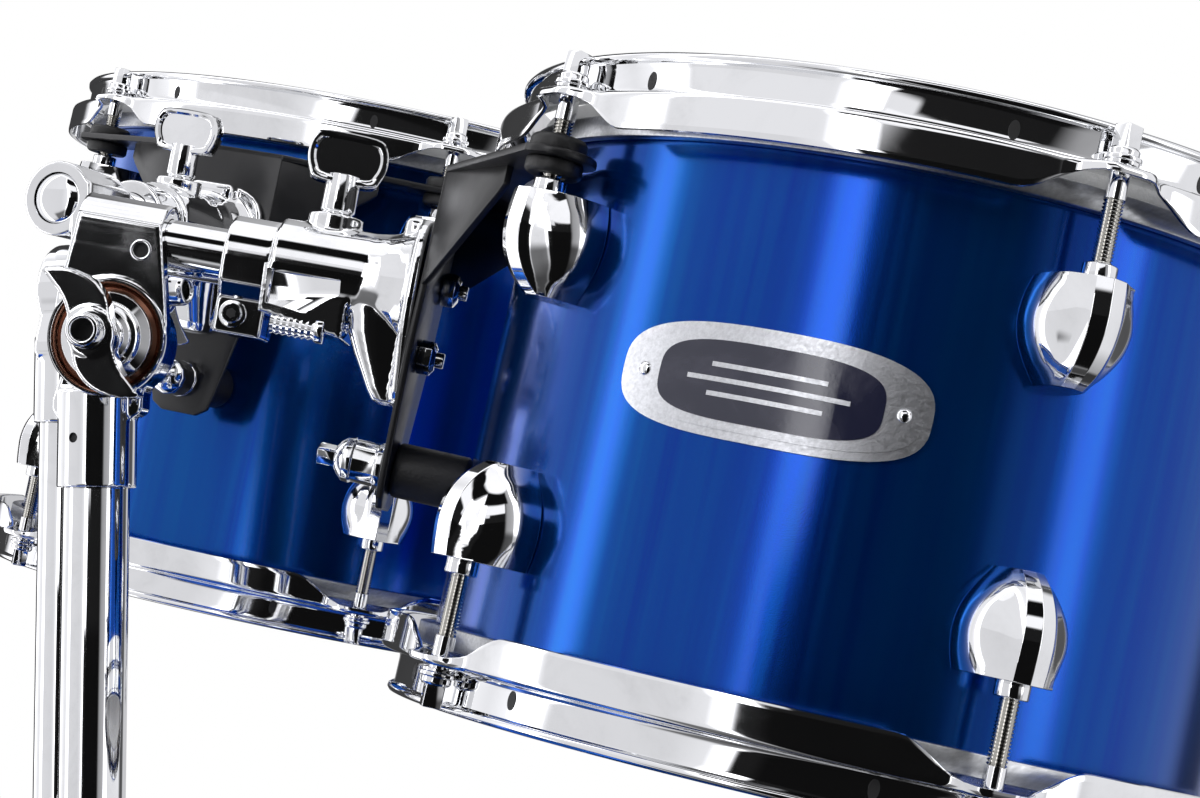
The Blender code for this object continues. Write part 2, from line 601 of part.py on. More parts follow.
def build_bass_drum(kit):
    """The bass drum: shell with its lugs, heads, and hoops with their claws and T-rods."""
    axis = empty("bass_axis", kit, move(0, BASS_MIDDLE_Y, BASS_CENTRE_Z) @ turn("X", -math.pi / 2) @
                 turn("Z", math.pi / BASS_STEPS))
    unturn = turn("Z", -math.pi / BASS_STEPS)
    half = BASS_DEPTH / 2
    shell = add_part("bass_shell", shell_mesh(BASS_RADIUS, BASS_WALL, -half, half, BASS_STEPS), BLUE, axis)
    stages = ((0, 1.0, 1.0), (1.0, 0.60, 0.45))
    lug = bored_lug_mesh(0.050, 0.030, 0.030, stages, BASS_ROD_STANDOFF + 0.002, 0.0)
    front = [unturn @ place @ move(-0.002, 0, half - 0.050) for place in bass_claw_places(False)]
    back = [unturn @ place @ move(-0.002, 0, -half + 0.050) @ turn("X", math.pi)
            for place in bass_claw_places(False)]
    joined(shell, copies_mesh(lug, front + back))
    holes = [unturn @ move(sign * POST_SPREAD, 0, -BASS_MIDDLE_Y) @ turn("X", math.pi / 2)
             for sign in (1, -1)]
    post_hole = [(0, 0.35), (0.0135, 0.35), (0.0135, 0.2), (0, 0.2)]
    cut(shell, turned_mesh(post_hole, 12, holes))
    ends = (("batter", COATED_FILM, move(0, 0, half), False),
            ("front", BLACK_FILM, move(0, 0, -half) @ turn("X", math.pi), True))
    for name, film, place, flip in ends:
        add_part(f"bass_{name}_head", head_mesh(BASS_RADIUS, 0.0072, BASS_STEPS), film, axis, place)
        ring = [(BASS_HOOP_RADIUS, BASS_HOOP_PROUD), (BASS_HOOP_RADIUS, -0.0044),
                (BASS_RADIUS + 0.0022, -0.0044), (BASS_RADIUS + 0.0022, BASS_HOOP_PROUD)]
        hoop = add_part(f"bass_{name}_hoop", turned_mesh(ring, BASS_STEPS, closed=True), BLUE, axis, place)
        swing = unturn if not flip else turn("Z", math.pi / BASS_STEPS)
        places = [swing @ item for item in bass_claw_places(flip)]
        joined(hoop, box_mesh((0.0040, -0.0110, BASS_HOOP_PROUD - 0.012),
                              (0.0270, 0.0110, BASS_HOOP_PROUD + 0.003), 0.0, places))
        joined(hoop, t_rod_mesh(places))


def bass_core_mesh():
    """The bass drum's outer cylinder, a gap larger, which shapes what sits on the shell."""
    place = turn("X", -math.pi / 2) @ turn("Z", math.pi / BASS_STEPS)
    return cylinder_mesh(BASS_RADIUS + GAP, -0.3, 0.3, BASS_STEPS, place)


def build_tom_bracket(kit):
    """The base on the bass drum with its two post receivers, and their wing bolts."""
    shell_top = BASS_CENTRE_Z + BASS_RADIUS
    frame = empty("receiver_frame", kit, move(0, 0, shell_top))
    base = add_part("receiver_base", box_mesh((-0.078, -0.032, -0.020), (0.078, 0.032, 0.010), 0.003),
                    CHROME, frame)
    cut(base, bass_core_mesh(), move(0, 0, -BASS_RADIUS))
    posts = [move(sign * POST_SPREAD, 0, 0) for sign in (1, -1)]
    sleeve = [(0, 0.046), (0.0170, 0.046), (0.0175, 0.0), (0, 0.0)]
    joined(base, turned_mesh(sleeve, POST_STEPS, posts))
    boss = [(0, 0.026), (0.0085, 0.026), (0.0085, 0.010), (0, 0.010)]
    forward = turn("X", math.pi / 2)
    bolt_z = 0.030
    joined(base, turned_mesh(boss, 8, [move(sign * POST_SPREAD, 0, bolt_z) @ forward for sign in (1, -1)]))
    thread = [(0, 0.05), (0.0046, 0.05), (0.0046, 0.005), (0, 0.005)]
    cut(base, turned_mesh(thread, 8, [move(sign * POST_SPREAD, 0, bolt_z) @ forward for sign in (1, -1)]))
    bore = POST_RADIUS + 2 * GAP
    cut(base, turned_mesh([(0, 0.1), (bore, 0.1), (bore, -0.1), (0, -0.1)], POST_STEPS, posts))
    for side, sign in (("right", 1), ("left", -1)):
        bolt = wing_bolt_mesh(POST_RADIUS + 3 * GAP, 0.0263, 0.036, 0.014)
        add_part(f"receiver_wing_bolt_{side}", bolt, CHROME, frame,
                 move(sign * POST_SPREAD, 0, bolt_z) @ forward)


def build_spurs(kit):
    """The spur brackets on the shell, the legs that swing on them, and their sliding feet."""
    lift = SPUR_Z - BASS_CENTRE_Z
    wall_x = math.sqrt(BASS_RADIUS ** 2 - lift ** 2)
    for side, sign in (("right", 1), ("left", -1)):
        turn_side = Matrix() if sign > 0 else turn("Z", math.pi)
        seat = empty(f"spur_seat_{side}", kit, move(0, SPUR_Y, 0) @ turn_side @ move(wall_x, 0, SPUR_Z) @
                     turn("Y", -SPUR_SPLAY))
        base = add_part(f"spur_bracket_{side}",
                        box_mesh((-0.034, -0.026, -0.030), (0.010, 0.026, 0.034), 0.003), CHROME, seat)
        out = turn("Y", math.pi / 2)
        joined(base, cylinder_mesh(0.0230, 0.0, 0.0160, 16, out))
        core = seat.matrix_basis.inverted() @ move(0, 0, BASS_CENTRE_Z)
        cut(base, bass_core_mesh(), core)
        cut(base, cylinder_mesh(0.0050, 0.003, 0.03, 8, out))
        swing = empty(f"spur_swing_{side}", seat, turn("X", -sign * SPUR_SWING))
        hub = add_part(f"spur_leg_{side}", cylinder_mesh(0.0215, 0.0163, 0.0330, 16, out), CHROME, swing)
        joined(hub, cylinder_mesh(0.0044, 0.004, 0.0200, 8, out))
        joined(hub, cylinder_mesh(0.0100, -0.1450, -0.0080, 12, move(SPUR_OFFSET, 0, 0)))
        cut(hub, cylinder_mesh(0.0066, -0.1500, -0.0300, 12, move(SPUR_OFFSET, 0, 0)))
        foot_length = spur_foot_length(swing, sign)
        stem = [(0, -0.040), (0.0060, -0.040), (0.0060, -foot_length + 0.024),
                (0.0095, -foot_length + 0.020), (0.0095, -foot_length + 0.006),
                (SPUR_TIP_RADIUS, -foot_length), (0, -foot_length)]
        add_part(f"spur_foot_{side}", turned_mesh(stem, 12, (move(SPUR_OFFSET, 0, 0),)), CHROME, swing)


def spur_foot_length(swing, sign):
    """How far the foot's tip is from the pivot, so that its lowest edge touches the floor."""
    height = SPUR_Z + SPUR_OFFSET * math.sin(SPUR_SPLAY)
    lean = math.acos(math.cos(SPUR_SPLAY) * math.cos(SPUR_SWING))
    return (height - SPUR_TIP_RADIUS * math.sin(lean)) / math.cos(lean)


clear_scene()
KIT = new_collection("drum_kit")
TOOLS = new_collection("cutters")
kit_frame = empty("kit_frame", None, move(KIT_X, KIT_Y, 0))
build_bass_drum(kit_frame)
build_tom_bracket(kit_frame)
build_spurs(kit_frame)
build_holder(NEAR, kit_frame)
build_holder(FAR, kit_frame)
bpy.context.view_layer.update()
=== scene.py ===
"""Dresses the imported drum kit: finishes, detailed pieces, studio and camera.

Metres, +Z up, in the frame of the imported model. Every holder is a chain of frames that sit on
its joint axes: post, swivel, tilt, arm, roll and tom.
"""
import logging
import math
from dataclasses import dataclass
from enum import Enum
from typing import Any, Callable, Iterable, Sequence

import bmesh
import bpy
from mathutils import Matrix, Vector


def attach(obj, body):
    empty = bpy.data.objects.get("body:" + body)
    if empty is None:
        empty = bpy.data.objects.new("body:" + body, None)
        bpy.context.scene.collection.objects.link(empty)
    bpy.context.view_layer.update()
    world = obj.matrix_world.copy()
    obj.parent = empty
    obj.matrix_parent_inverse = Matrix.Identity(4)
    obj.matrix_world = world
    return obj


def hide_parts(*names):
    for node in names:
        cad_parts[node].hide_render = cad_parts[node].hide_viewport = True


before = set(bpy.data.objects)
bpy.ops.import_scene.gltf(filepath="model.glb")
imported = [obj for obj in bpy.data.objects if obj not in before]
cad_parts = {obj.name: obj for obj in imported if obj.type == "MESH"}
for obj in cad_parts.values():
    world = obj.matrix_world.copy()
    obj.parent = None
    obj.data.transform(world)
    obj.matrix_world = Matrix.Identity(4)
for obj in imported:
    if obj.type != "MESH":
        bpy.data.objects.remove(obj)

Point = tuple[float, float]
Solid = tuple[float, float, float]

LOG = logging.getLogger("drum_kit")
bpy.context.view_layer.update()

KIT_PLACE = Matrix.Translation((0.0294, -0.0776, 0.0))
PHOTO_WIDTH = 1200

# Metres: the play between pieces, and sizes that more than one piece shares.
GAP = 0.0003
POST_RADIUS = 0.0111
ARM_RADIUS = 0.0095
ROD_STANDOFF = 0.0145
BOLT_HOLE = 0.0046
HINGE_HOLE = 0.0047
THREAD_DEPTH = 0.00058
SHELL_ROUND = 0.0010
MERGE = 1e-7

# Angles between faces from which an edge is bevelled: radians in a form, degrees on a finished piece.
SHARP = 0.45
LIVE_BEVEL_ANGLE = 32


def turn(axis: str, degrees: float) -> Matrix:
    """A rotation about X, Y or Z."""
    return Matrix.Rotation(math.radians(degrees), 4, axis)


def move(x: float, y: float, z: float) -> Matrix:
    """A translation."""
    return Matrix.Translation((x, y, z))


def ease(value: float, start: float, end: float) -> float:
    """A smooth step from 0 at start to 1 at end."""
    share = min(max((value - start) / (end - start), 0.0), 1.0)
    return share * share * (3.0 - 2.0 * share)


def arc(radius: float, start: float, end: float, count: int) -> list[Point]:
    """Points on an arc about the origin.

    Args:
        radius: The arc's radius.
        start: First angle in degrees.
        end: Last angle in degrees.
        count: Number of points, both ends included.

    Returns:
        The points as (x, y).
    """
    angles = [math.radians(start + (end - start) * k / (count - 1)) for k in range(count)]
    return [(radius * math.cos(angle), radius * math.sin(angle)) for angle in angles]


def superellipse(half: float, rise: float, power: float, count: int = 72) -> list[Point]:
    """A rounded rectangle, the squarer the higher its power.

    Args:
        half: Half of its width.
        rise: Half of its height.
        power: 2 for an ellipse, and more for squarer corners.
        count: Number of points.

    Returns:
        The points as (x, y).
    """
    points = []
    for k in range(count):
        x, y = math.cos(math.tau * k / count), math.sin(math.tau * k / count)
        points.append((math.copysign(half * abs(x) ** (2 / power), x), math.copysign(rise * abs(y) ** (2 / power), y)))
    return points


def through(points: Sequence[Point], steps: int) -> list[Point]:
    """A smooth closed line through some points.

    Args:
        points: The points that the line passes.
        steps: How many pieces each stretch between two points gets.

    Returns:
        The points of the smooth line.
    """
    line: list[Point] = []
    count = len(points)
    for k in range(count):
        a, b, c, d = (Vector(points[(k + shift) % count]) for shift in (-1, 0, 1, 2))
        for step in range(steps):
            t = step / steps
            spot = 0.5 * (2 * b + (c - a) * t + (2 * a - 5 * b + 4 * c - d) * t * t
                          + (3 * b - a - 3 * c + d) * t ** 3)
            line.append((spot.x, spot.y))
    return line


def mirrored(half: Sequence[Point], *middle: Point) -> list[Point]:
    """An outline from one of its halves.

    Args:
        half: Points of the half with Y above 0.
        *middle: Points between the half and its mirror image.

    Returns:
        The half, the middle and the half's mirror image in Y.
    """
    return [*half, *middle, *[(x, -y) for x, y in reversed(half)]]


def blended(stations: Sequence[Sequence[float]], t: float) -> list[float]:
    """Smooth values from a short table.

    Args:
        stations: Rows of a place along the shape and the values there.
        t: The place that is wanted.

    Returns:
        The values at that place, on a curve through the rows.
    """
    last = len(stations) - 2
    k = next((k for k in range(last + 1) if t <= stations[k + 1][0]), last)
    rows = [stations[min(max(k + shift, 0), last + 1)] for shift in (-1, 0, 1, 2)]
    span = rows[2][0] - rows[1][0]
    share = (t - rows[1][0]) / span
    values = []
    for column in range(1, len(stations[0])):
        before, low, high, after = (row[column] for row in rows)
        rise_low = (high - before) / max(rows[2][0] - rows[0][0], 1e-6) * span
        rise_high = (after - low) / max(rows[3][0] - rows[1][0], 1e-6) * span
        ease_in = (2 * share - 3) * share * share
        values.append(low * (1 + ease_in) - high * ease_in
                      + rise_low * share * (1 - share) ** 2 - rise_high * share * share * (1 - share))
    return values


# --------------------------------------------------------------------------- finishes


class CadSlot(Enum):
    """The record's material slots."""

    BLUE = "blue_lacquer"
    CHROME = "chrome"
    STEEL = "black_steel"
    RUBBER = "rubber"
    COATED = "coated_film"
    CLEAR = "clear_film"
    BLACK = "black_film"


class Board:
    """Adds the nodes of one node tree, sets their sockets and links them."""

    def __init__(self, tree: bpy.types.NodeTree) -> None:
        """Starts on a node tree."""
        self.tree = tree

    def add(self, kind: str, sockets: dict[Any, Any] | None = None, **settings: Any) -> bpy.types.Node:
        """Adds a node.

        Args:
            kind: The node's type name.
            sockets: Values or output sockets for its inputs, by name or number.
            **settings: Properties of the node itself.

        Returns:
            The new node.
        """
        node = self.tree.nodes.new(kind)
        for key, value in settings.items():
            setattr(node, key, value)
        for key, value in (sockets or {}).items():
            self.put(node, key, value)
        return node

    def put(self, node: bpy.types.Node, key: Any, value: Any) -> None:
        """Sets an input of a node, or links an output to it.

        Args:
            node: The node.
            key: The input's name or number.
            value: A plain value, or an output socket.
        """
        if isinstance(value, bpy.types.NodeSocket):
            self.tree.links.new(value, node.inputs[key])
        else:
            node.inputs[key].default_value = value

    def math(self, operation: str, *values: Any) -> bpy.types.NodeSocket:
        """The result of a Math node."""
        return self.add("ShaderNodeMath", dict(enumerate(values)), operation=operation).outputs[0]

    def times(self, first: Any, second: Any) -> bpy.types.NodeSocket:
        """The product of two values."""
        return self.math("MULTIPLY", first, second)

    def without(self, level: Any, mask: Any) -> bpy.types.NodeSocket:
        """A level, dimmed where the mask is set."""
        return self.times(level, self.math("SUBTRACT", 1.0, mask))

    def rise(self, value: Any, low: float, high: float, top: float = 1.0) -> bpy.types.NodeSocket:
        """A soft step from 0 at low to the top at high."""
        return self.span(value, low, high, 0.0, top, True)

    def fall(self, value: Any, low: float, high: float, top: float = 1.0) -> bpy.types.NodeSocket:
        """A soft step from the top at low to 0 at high."""
        return self.span(value, low, high, top, 0.0, True)

    def span(self, value: Any, low: float, high: float, to_low: float, to_high: float,
             smooth: bool = False) -> bpy.types.NodeSocket:
        """A value moved from one range to another, kept inside it.

        Args:
            value: The value, or the socket that gives it.
            low: Start of its range.
            high: End of its range.
            to_low: Result at the start.
            to_high: Result at the end.
            smooth: True for soft ends.

        Returns:
            The moved value's socket.
        """
        kind = "SMOOTHSTEP" if smooth else "LINEAR"
        node = self.add("ShaderNodeMapRange", {0: value, 1: low, 2: high, 3: to_low, 4: to_high},
                        interpolation_type=kind)
        return node.outputs[0]

    def ramp(self, value: Any, stops: Sequence[Point]) -> bpy.types.NodeSocket:
        """A float curve through stops of (degrees, value), fed with a share of the full turn.

        Args:
            value: Socket with the share of the full turn.
            stops: Rows of (degrees, level), from -180 to 180.

        Returns:
            The curve's socket.
        """
        node = self.add("ShaderNodeFloatCurve", {1: value})
        curve = node.mapping.curves[0]
        node.mapping.use_clip = False
        node.mapping.clip_max_y = 4.0
        shares = [((degrees + 180.0) / 360.0, level) for degrees, level in stops]
        curve.points[0].location, curve.points[1].location = shares[0], shares[-1]
        for share, level in shares[1:-1]:
            curve.points.new(share, level)
        for point in curve.points:
            point.handle_type = "VECTOR"
        node.mapping.update()
        return node.outputs[0]

    def mix(self, share: Any, first: Any, second: Any) -> bpy.types.NodeSocket:
        """A colour between two colours.

        Args:
            share: Share of the second colour.
            first: Colour at 0.
            second: Colour at 1.

        Returns:
            The mixed colour's socket.
        """
        node = self.add("ShaderNodeMix", data_type="RGBA")
        self.put(node, 0, share)
        self.put(node, 6, first)
        self.put(node, 7, second)
        return node.outputs[2]


class Surface(Board):
    """The board of a material, with its Principled BSDF and its Object coordinates."""

    def __init__(self, material: bpy.types.Material) -> None:
        """Starts on a material.

        Args:
            material: The material, whose nodes are laid out here.
        """
        material.use_nodes = True
        super().__init__(material.node_tree)
        self.shader = material.node_tree.nodes["Principled BSDF"]
        self.vector = self.add("ShaderNodeTexCoord").outputs["Object"]

    def set(self, key: str, value: Any) -> None:
        """Sets or links an input of the shader."""
        self.put(self.shader, key, value)

    def bump(self, height: Any, strength: float, depth: float) -> None:
        """Feeds a height into the shader's normal."""
        node = self.add("ShaderNodeBump", {"Height": height, "Strength": strength, "Distance": depth})
        self.set("Normal", node.outputs[0])


def node_group(name: str, inputs: Sequence[str], outputs: Sequence[str],
               fill: Callable[[Board, bpy.types.Node, bpy.types.Node], None]) -> bpy.types.NodeTree:
    """A shader node group of float sockets and one vector, made once.

    Args:
        name: The group's name.
        inputs: Names of its float inputs, after the vector.
        outputs: Names of its float outputs.
        fill: Lays out the group's nodes between its input and output nodes.

    Returns:
        The group's node tree.
    """
    tree = bpy.data.node_groups.get(name)
    if tree:
        return tree
    tree = bpy.data.node_groups.new(name, "ShaderNodeTree")
    tree.interface.new_socket(name="Vector", in_out="INPUT", socket_type="NodeSocketVector")
    for key in inputs:
        tree.interface.new_socket(name=key, in_out="INPUT", socket_type="NodeSocketFloat")
    for key in outputs:
        tree.interface.new_socket(name=key, in_out="OUTPUT", socket_type="NodeSocketFloat")
    board = Board(tree)
    fill(board, board.add("NodeGroupInput"), board.add("NodeGroupOutput"))
    return tree


def fill_marks(board: Board, source: bpy.types.Node, sink: bpy.types.Node) -> None:
    """Handling marks: soft cloudy smears with a fine grain over them.

    Args:
        board: The group's board.
        source: The group's input node.
        sink: The group's output node.
    """
    out = source.outputs
    cloud = board.add("ShaderNodeTexNoise", {"Vector": out["Vector"], "Scale": out["Scale"], "Detail": 4.0,
                                             "Roughness": 0.6, "Distortion": 0.8})
    fine_scale = board.times(out["Scale"], 14.0)
    fine = board.add("ShaderNodeTexNoise", {"Vector": out["Vector"], "Scale": fine_scale, "Detail": 2.0})
    smear = board.rise(cloud.outputs[0], 0.42, 0.68)
    board.put(sink, "Mask", board.times(smear, board.span(fine.outputs[0], 0.3, 0.7, 0.6, 1.0)))
    board.put(sink, "Height", fine.outputs[0])


def fill_streaks(board: Board, source: bpy.types.Node, sink: bpy.types.Node) -> None:
    """Long streaks along Z, from a noise that is drawn out.

    Args:
        board: The group's board.
        source: The group's input node.
        sink: The group's output node.
    """
    out = source.outputs
    stretch = board.add("ShaderNodeCombineXYZ", {0: out["Across"], 1: out["Across"], 2: out["Along"]})
    drawn = board.add("ShaderNodeVectorMath", {0: out["Vector"], 1: stretch.outputs[0]}, operation="MULTIPLY")
    noise = board.add("ShaderNodeTexNoise", {"Vector": drawn.outputs[0], "Scale": 1.0, "Detail": 5.0,
                                             "Roughness": 0.62})
    board.put(sink, "Mask", board.span(noise.outputs[0], 0.3, 0.7, 0.0, 1.0))


def marks(board: Board, vector: Any, scale: float) -> bpy.types.Node:
    """The shared group for handling marks, placed in a material."""
    tree = node_group("handling_marks", ["Scale"], ["Mask", "Height"], fill_marks)
    return place_group(board, tree, {"Vector": vector, "Scale": scale})


def streaks(board: Board, vector: Any, across: float, along: float) -> bpy.types.Node:
    """The shared group for long streaks, placed in a material."""
    tree = node_group("long_streaks", ["Across", "Along"], ["Mask"], fill_streaks)
    return place_group(board, tree, {"Vector": vector, "Across": across, "Along": along})


def place_group(board: Board, tree: bpy.types.NodeTree, sockets: dict[str, Any]) -> bpy.types.Node:
    """A group node with its sockets set.

    Args:
        board: The material's board.
        tree: The node group.
        sockets: Values or sockets for its inputs, by name.

    Returns:
        The group node.
    """
    node = board.add("ShaderNodeGroup", node_tree=tree)
    for key, value in sockets.items():
        board.put(node, key, value)
    return node


@dataclass(frozen=True)
class Finish:
    """A surface finish. Its material is built once, on Object coordinates."""

    name: str
    slot: CadSlot

    def material(self) -> bpy.types.Material:
        """The finish's material.

        Returns:
            The material, made on its first use.
        """
        found = bpy.data.materials.get(self.name)
        if found:
            return found
        made = bpy.data.materials.new(self.name)
        self.shade(Surface(made))
        return made

    def shade(self, surface: Surface) -> None:
        """Lays out the finish's own nodes on the material's surface."""


@dataclass(frozen=True)
class Chrome(Finish):
    """Mirror chrome plate with faint smears."""

    tint: Solid = (0.87, 0.875, 0.885)
    polish: Point = (0.03, 0.09)

    def shade(self, surface: Surface) -> None:
        """A clean metal whose roughness and tint follow the smears.

        Args:
            surface: The material's surface.
        """
        smear = marks(surface, surface.vector, 34.0)
        dull = tuple(0.9 * value for value in self.tint)
        surface.set("Base Color", surface.mix(smear.outputs["Mask"], (*self.tint, 1), (*dull, 1)))
        surface.set("Metallic", 1.0)
        surface.set("Roughness", surface.span(smear.outputs["Mask"], 0.0, 1.0, *self.polish))


@dataclass(frozen=True)
class Lacquer(Finish):
    """Metallic blue lacquer under a thick clear coat, with streaks along the drum's axis."""

    axis_frame: tuple[tuple[float, ...], ...] = ()
    deep: Solid = (0.0, 0.012, 0.30)
    bright: Solid = (0.0, 0.098, 0.35)

    def shade(self, surface: Surface) -> None:
        """Streaked metallic colour with a clear coat.

        Args:
            surface: The material's surface.
        """
        inverse = Matrix(self.axis_frame).inverted()
        local = surface.add("ShaderNodeMapping", {"Vector": surface.vector, "Location": inverse.translation,
                                                "Rotation": inverse.to_euler()}).outputs[0]
        broad = streaks(surface, local, 16.0, 0.9).outputs["Mask"]
        fine = streaks(surface, local, 210.0, 5.0).outputs["Mask"]
        flake = surface.add("ShaderNodeTexNoise", {"Vector": local, "Scale": 2600.0, "Detail": 1.0}).outputs[0]
        share = surface.math("ADD", surface.times(broad, 0.55), surface.times(fine, 0.3))
        share = surface.math("ADD", share, surface.times(flake, 0.22))
        surface.set("Base Color", surface.mix(share, (*self.deep, 1), (*self.bright, 1)))
        surface.set("Metallic", 0.86)
        surface.set("Roughness", surface.span(fine, 0.0, 1.0, 0.13, 0.19))
        surface.set("Coat Weight", 0.15)
        surface.set("Coat Roughness", 0.025)
        surface.set("Coat IOR", 1.5)
        surface.bump(flake, 0.12, 0.0001)


@dataclass(frozen=True)
class Ply(Finish):
    """The bare plywood inside a shell."""

    def shade(self, surface: Surface) -> None:
        """Pale wood with a drawn-out grain.

        Args:
            surface: The material's surface.
        """
        grain = streaks(surface, surface.vector, 90.0, 7.0).outputs["Mask"]
        surface.set("Base Color", surface.mix(grain, (0.36, 0.21, 0.10, 1), (0.62, 0.43, 0.25, 1)))
        surface.set("Roughness", surface.span(grain, 0.0, 1.0, 0.62, 0.48))
        surface.bump(grain, 0.3, 0.0003)


@dataclass(frozen=True)
class Paint(Finish):
    """An even colour with smears and a fine bump: satin steel, rubber, enamel, film, or painted shade in recesses."""

    colour: Solid = (0.02, 0.02, 0.02)
    worn: Solid = (0.04, 0.04, 0.04)
    rough: Point = (0.35, 0.5)
    scale: float = 30.0
    grain: float = 0.0002
    coat: float = 0.0
    clear: float = 0.0

    def shade(self, surface: Surface) -> None:
        """Colour, roughness and bump from the shared marks.

        Args:
            surface: The material's surface.
        """
        smear = marks(surface, surface.vector, self.scale)
        mask = smear.outputs["Mask"]
        surface.set("Base Color", surface.mix(mask, (*self.colour, 1), (*self.worn, 1)))
        surface.set("Roughness", surface.span(mask, 0.0, 1.0, *self.rough))
        surface.set("Coat Weight", self.coat)
        surface.set("Transmission Weight", self.clear)
        surface.bump(smear.outputs["Height"], 0.35, self.grain)


@dataclass(frozen=True)
class Brushed(Finish):
    """Satin metal brushed in one direction."""

    colour: Solid = (0.62, 0.63, 0.65)

    def shade(self, surface: Surface) -> None:
        """Fine brush lines in colour and roughness.

        Args:
            surface: The material's surface.
        """
        turned = surface.add("ShaderNodeMapping", {"Vector": surface.vector, "Rotation": (1.3, 0.4, 0.0)}).outputs[0]
        line = streaks(surface, turned, 900.0, 30.0).outputs["Mask"]
        dark = tuple(0.72 * value for value in self.colour)
        surface.set("Base Color", surface.mix(line, (*dark, 1), (*self.colour, 1)))
        surface.set("Metallic", 1.0)
        surface.set("Roughness", surface.span(line, 0.0, 1.0, 0.42, 0.28))
        surface.bump(line, 0.15, 0.0001)


CHROME = Chrome("chrome_plate", CadSlot.CHROME)
CAST_CHROME = Chrome("cast_chrome", CadSlot.CHROME, polish=(0.035, 0.10))
THREAD = Chrome("plated_thread", CadSlot.CHROME, tint=(0.66, 0.65, 0.62), polish=(0.10, 0.2))
FRICTION = Chrome("bronze_friction_ring", CadSlot.CHROME, tint=(0.24, 0.11, 0.07), polish=(0.16, 0.26))
BLACK_STEEL = Paint("satin_black_steel", CadSlot.STEEL, (0.006, 0.006, 0.007), (0.012, 0.012, 0.013),
                    (0.30, 0.42), 26.0, 0.00008)
RUBBER = Paint("moulded_rubber", CadSlot.RUBBER, (0.007, 0.007, 0.0075), (0.016, 0.016, 0.016), (0.45, 0.62), 60.0,
               0.0003)
# Painted shade: a near-black fill for discs set in slots, sockets and bores, where a real hole would show shade.
RECESS_SHADE = Paint("painted_recess_shade", CadSlot.CHROME, (0.006, 0.006, 0.007), (0.012, 0.012, 0.012), (0.5, 0.7), 60.0,
             0.0002)
COATED = Paint("coated_head_film", CadSlot.COATED, (0.81, 0.81, 0.795), (0.775, 0.775, 0.755), (0.46, 0.60), 40.0,
               0.0005)
CLEAR = Paint("clear_head_film", CadSlot.CLEAR, (0.95, 0.96, 0.97), (0.88, 0.9, 0.92), (0.05, 0.16), 14.0,
              0.00005, clear=0.94)
BLACK_HEAD = Paint("black_head_film", CadSlot.BLACK, (0.011, 0.011, 0.012), (0.014, 0.014, 0.015), (0.18, 0.22),
                   45.0, 0.00004)
FLESH = Brushed("head_rim_aluminium", CadSlot.COATED)
SILVER = Brushed("badge_silver", CadSlot.CHROME, (0.74, 0.75, 0.78))
ENAMEL = Paint("badge_enamel", CadSlot.CHROME, (0.012, 0.013, 0.03), (0.03, 0.03, 0.05), (0.1, 0.2), 40.0,
               0.00005, coat=0.6)
PLY = Ply("shell_plywood", CadSlot.BLUE)


def lacquer_for(name: str, place: Matrix) -> Lacquer:
    """The lacquer of one drum, its streaks turned along that drum's axis."""
    return Lacquer(name, CadSlot.BLUE, tuple(tuple(row) for row in place))


# --------------------------------------------------------------------------- shaping


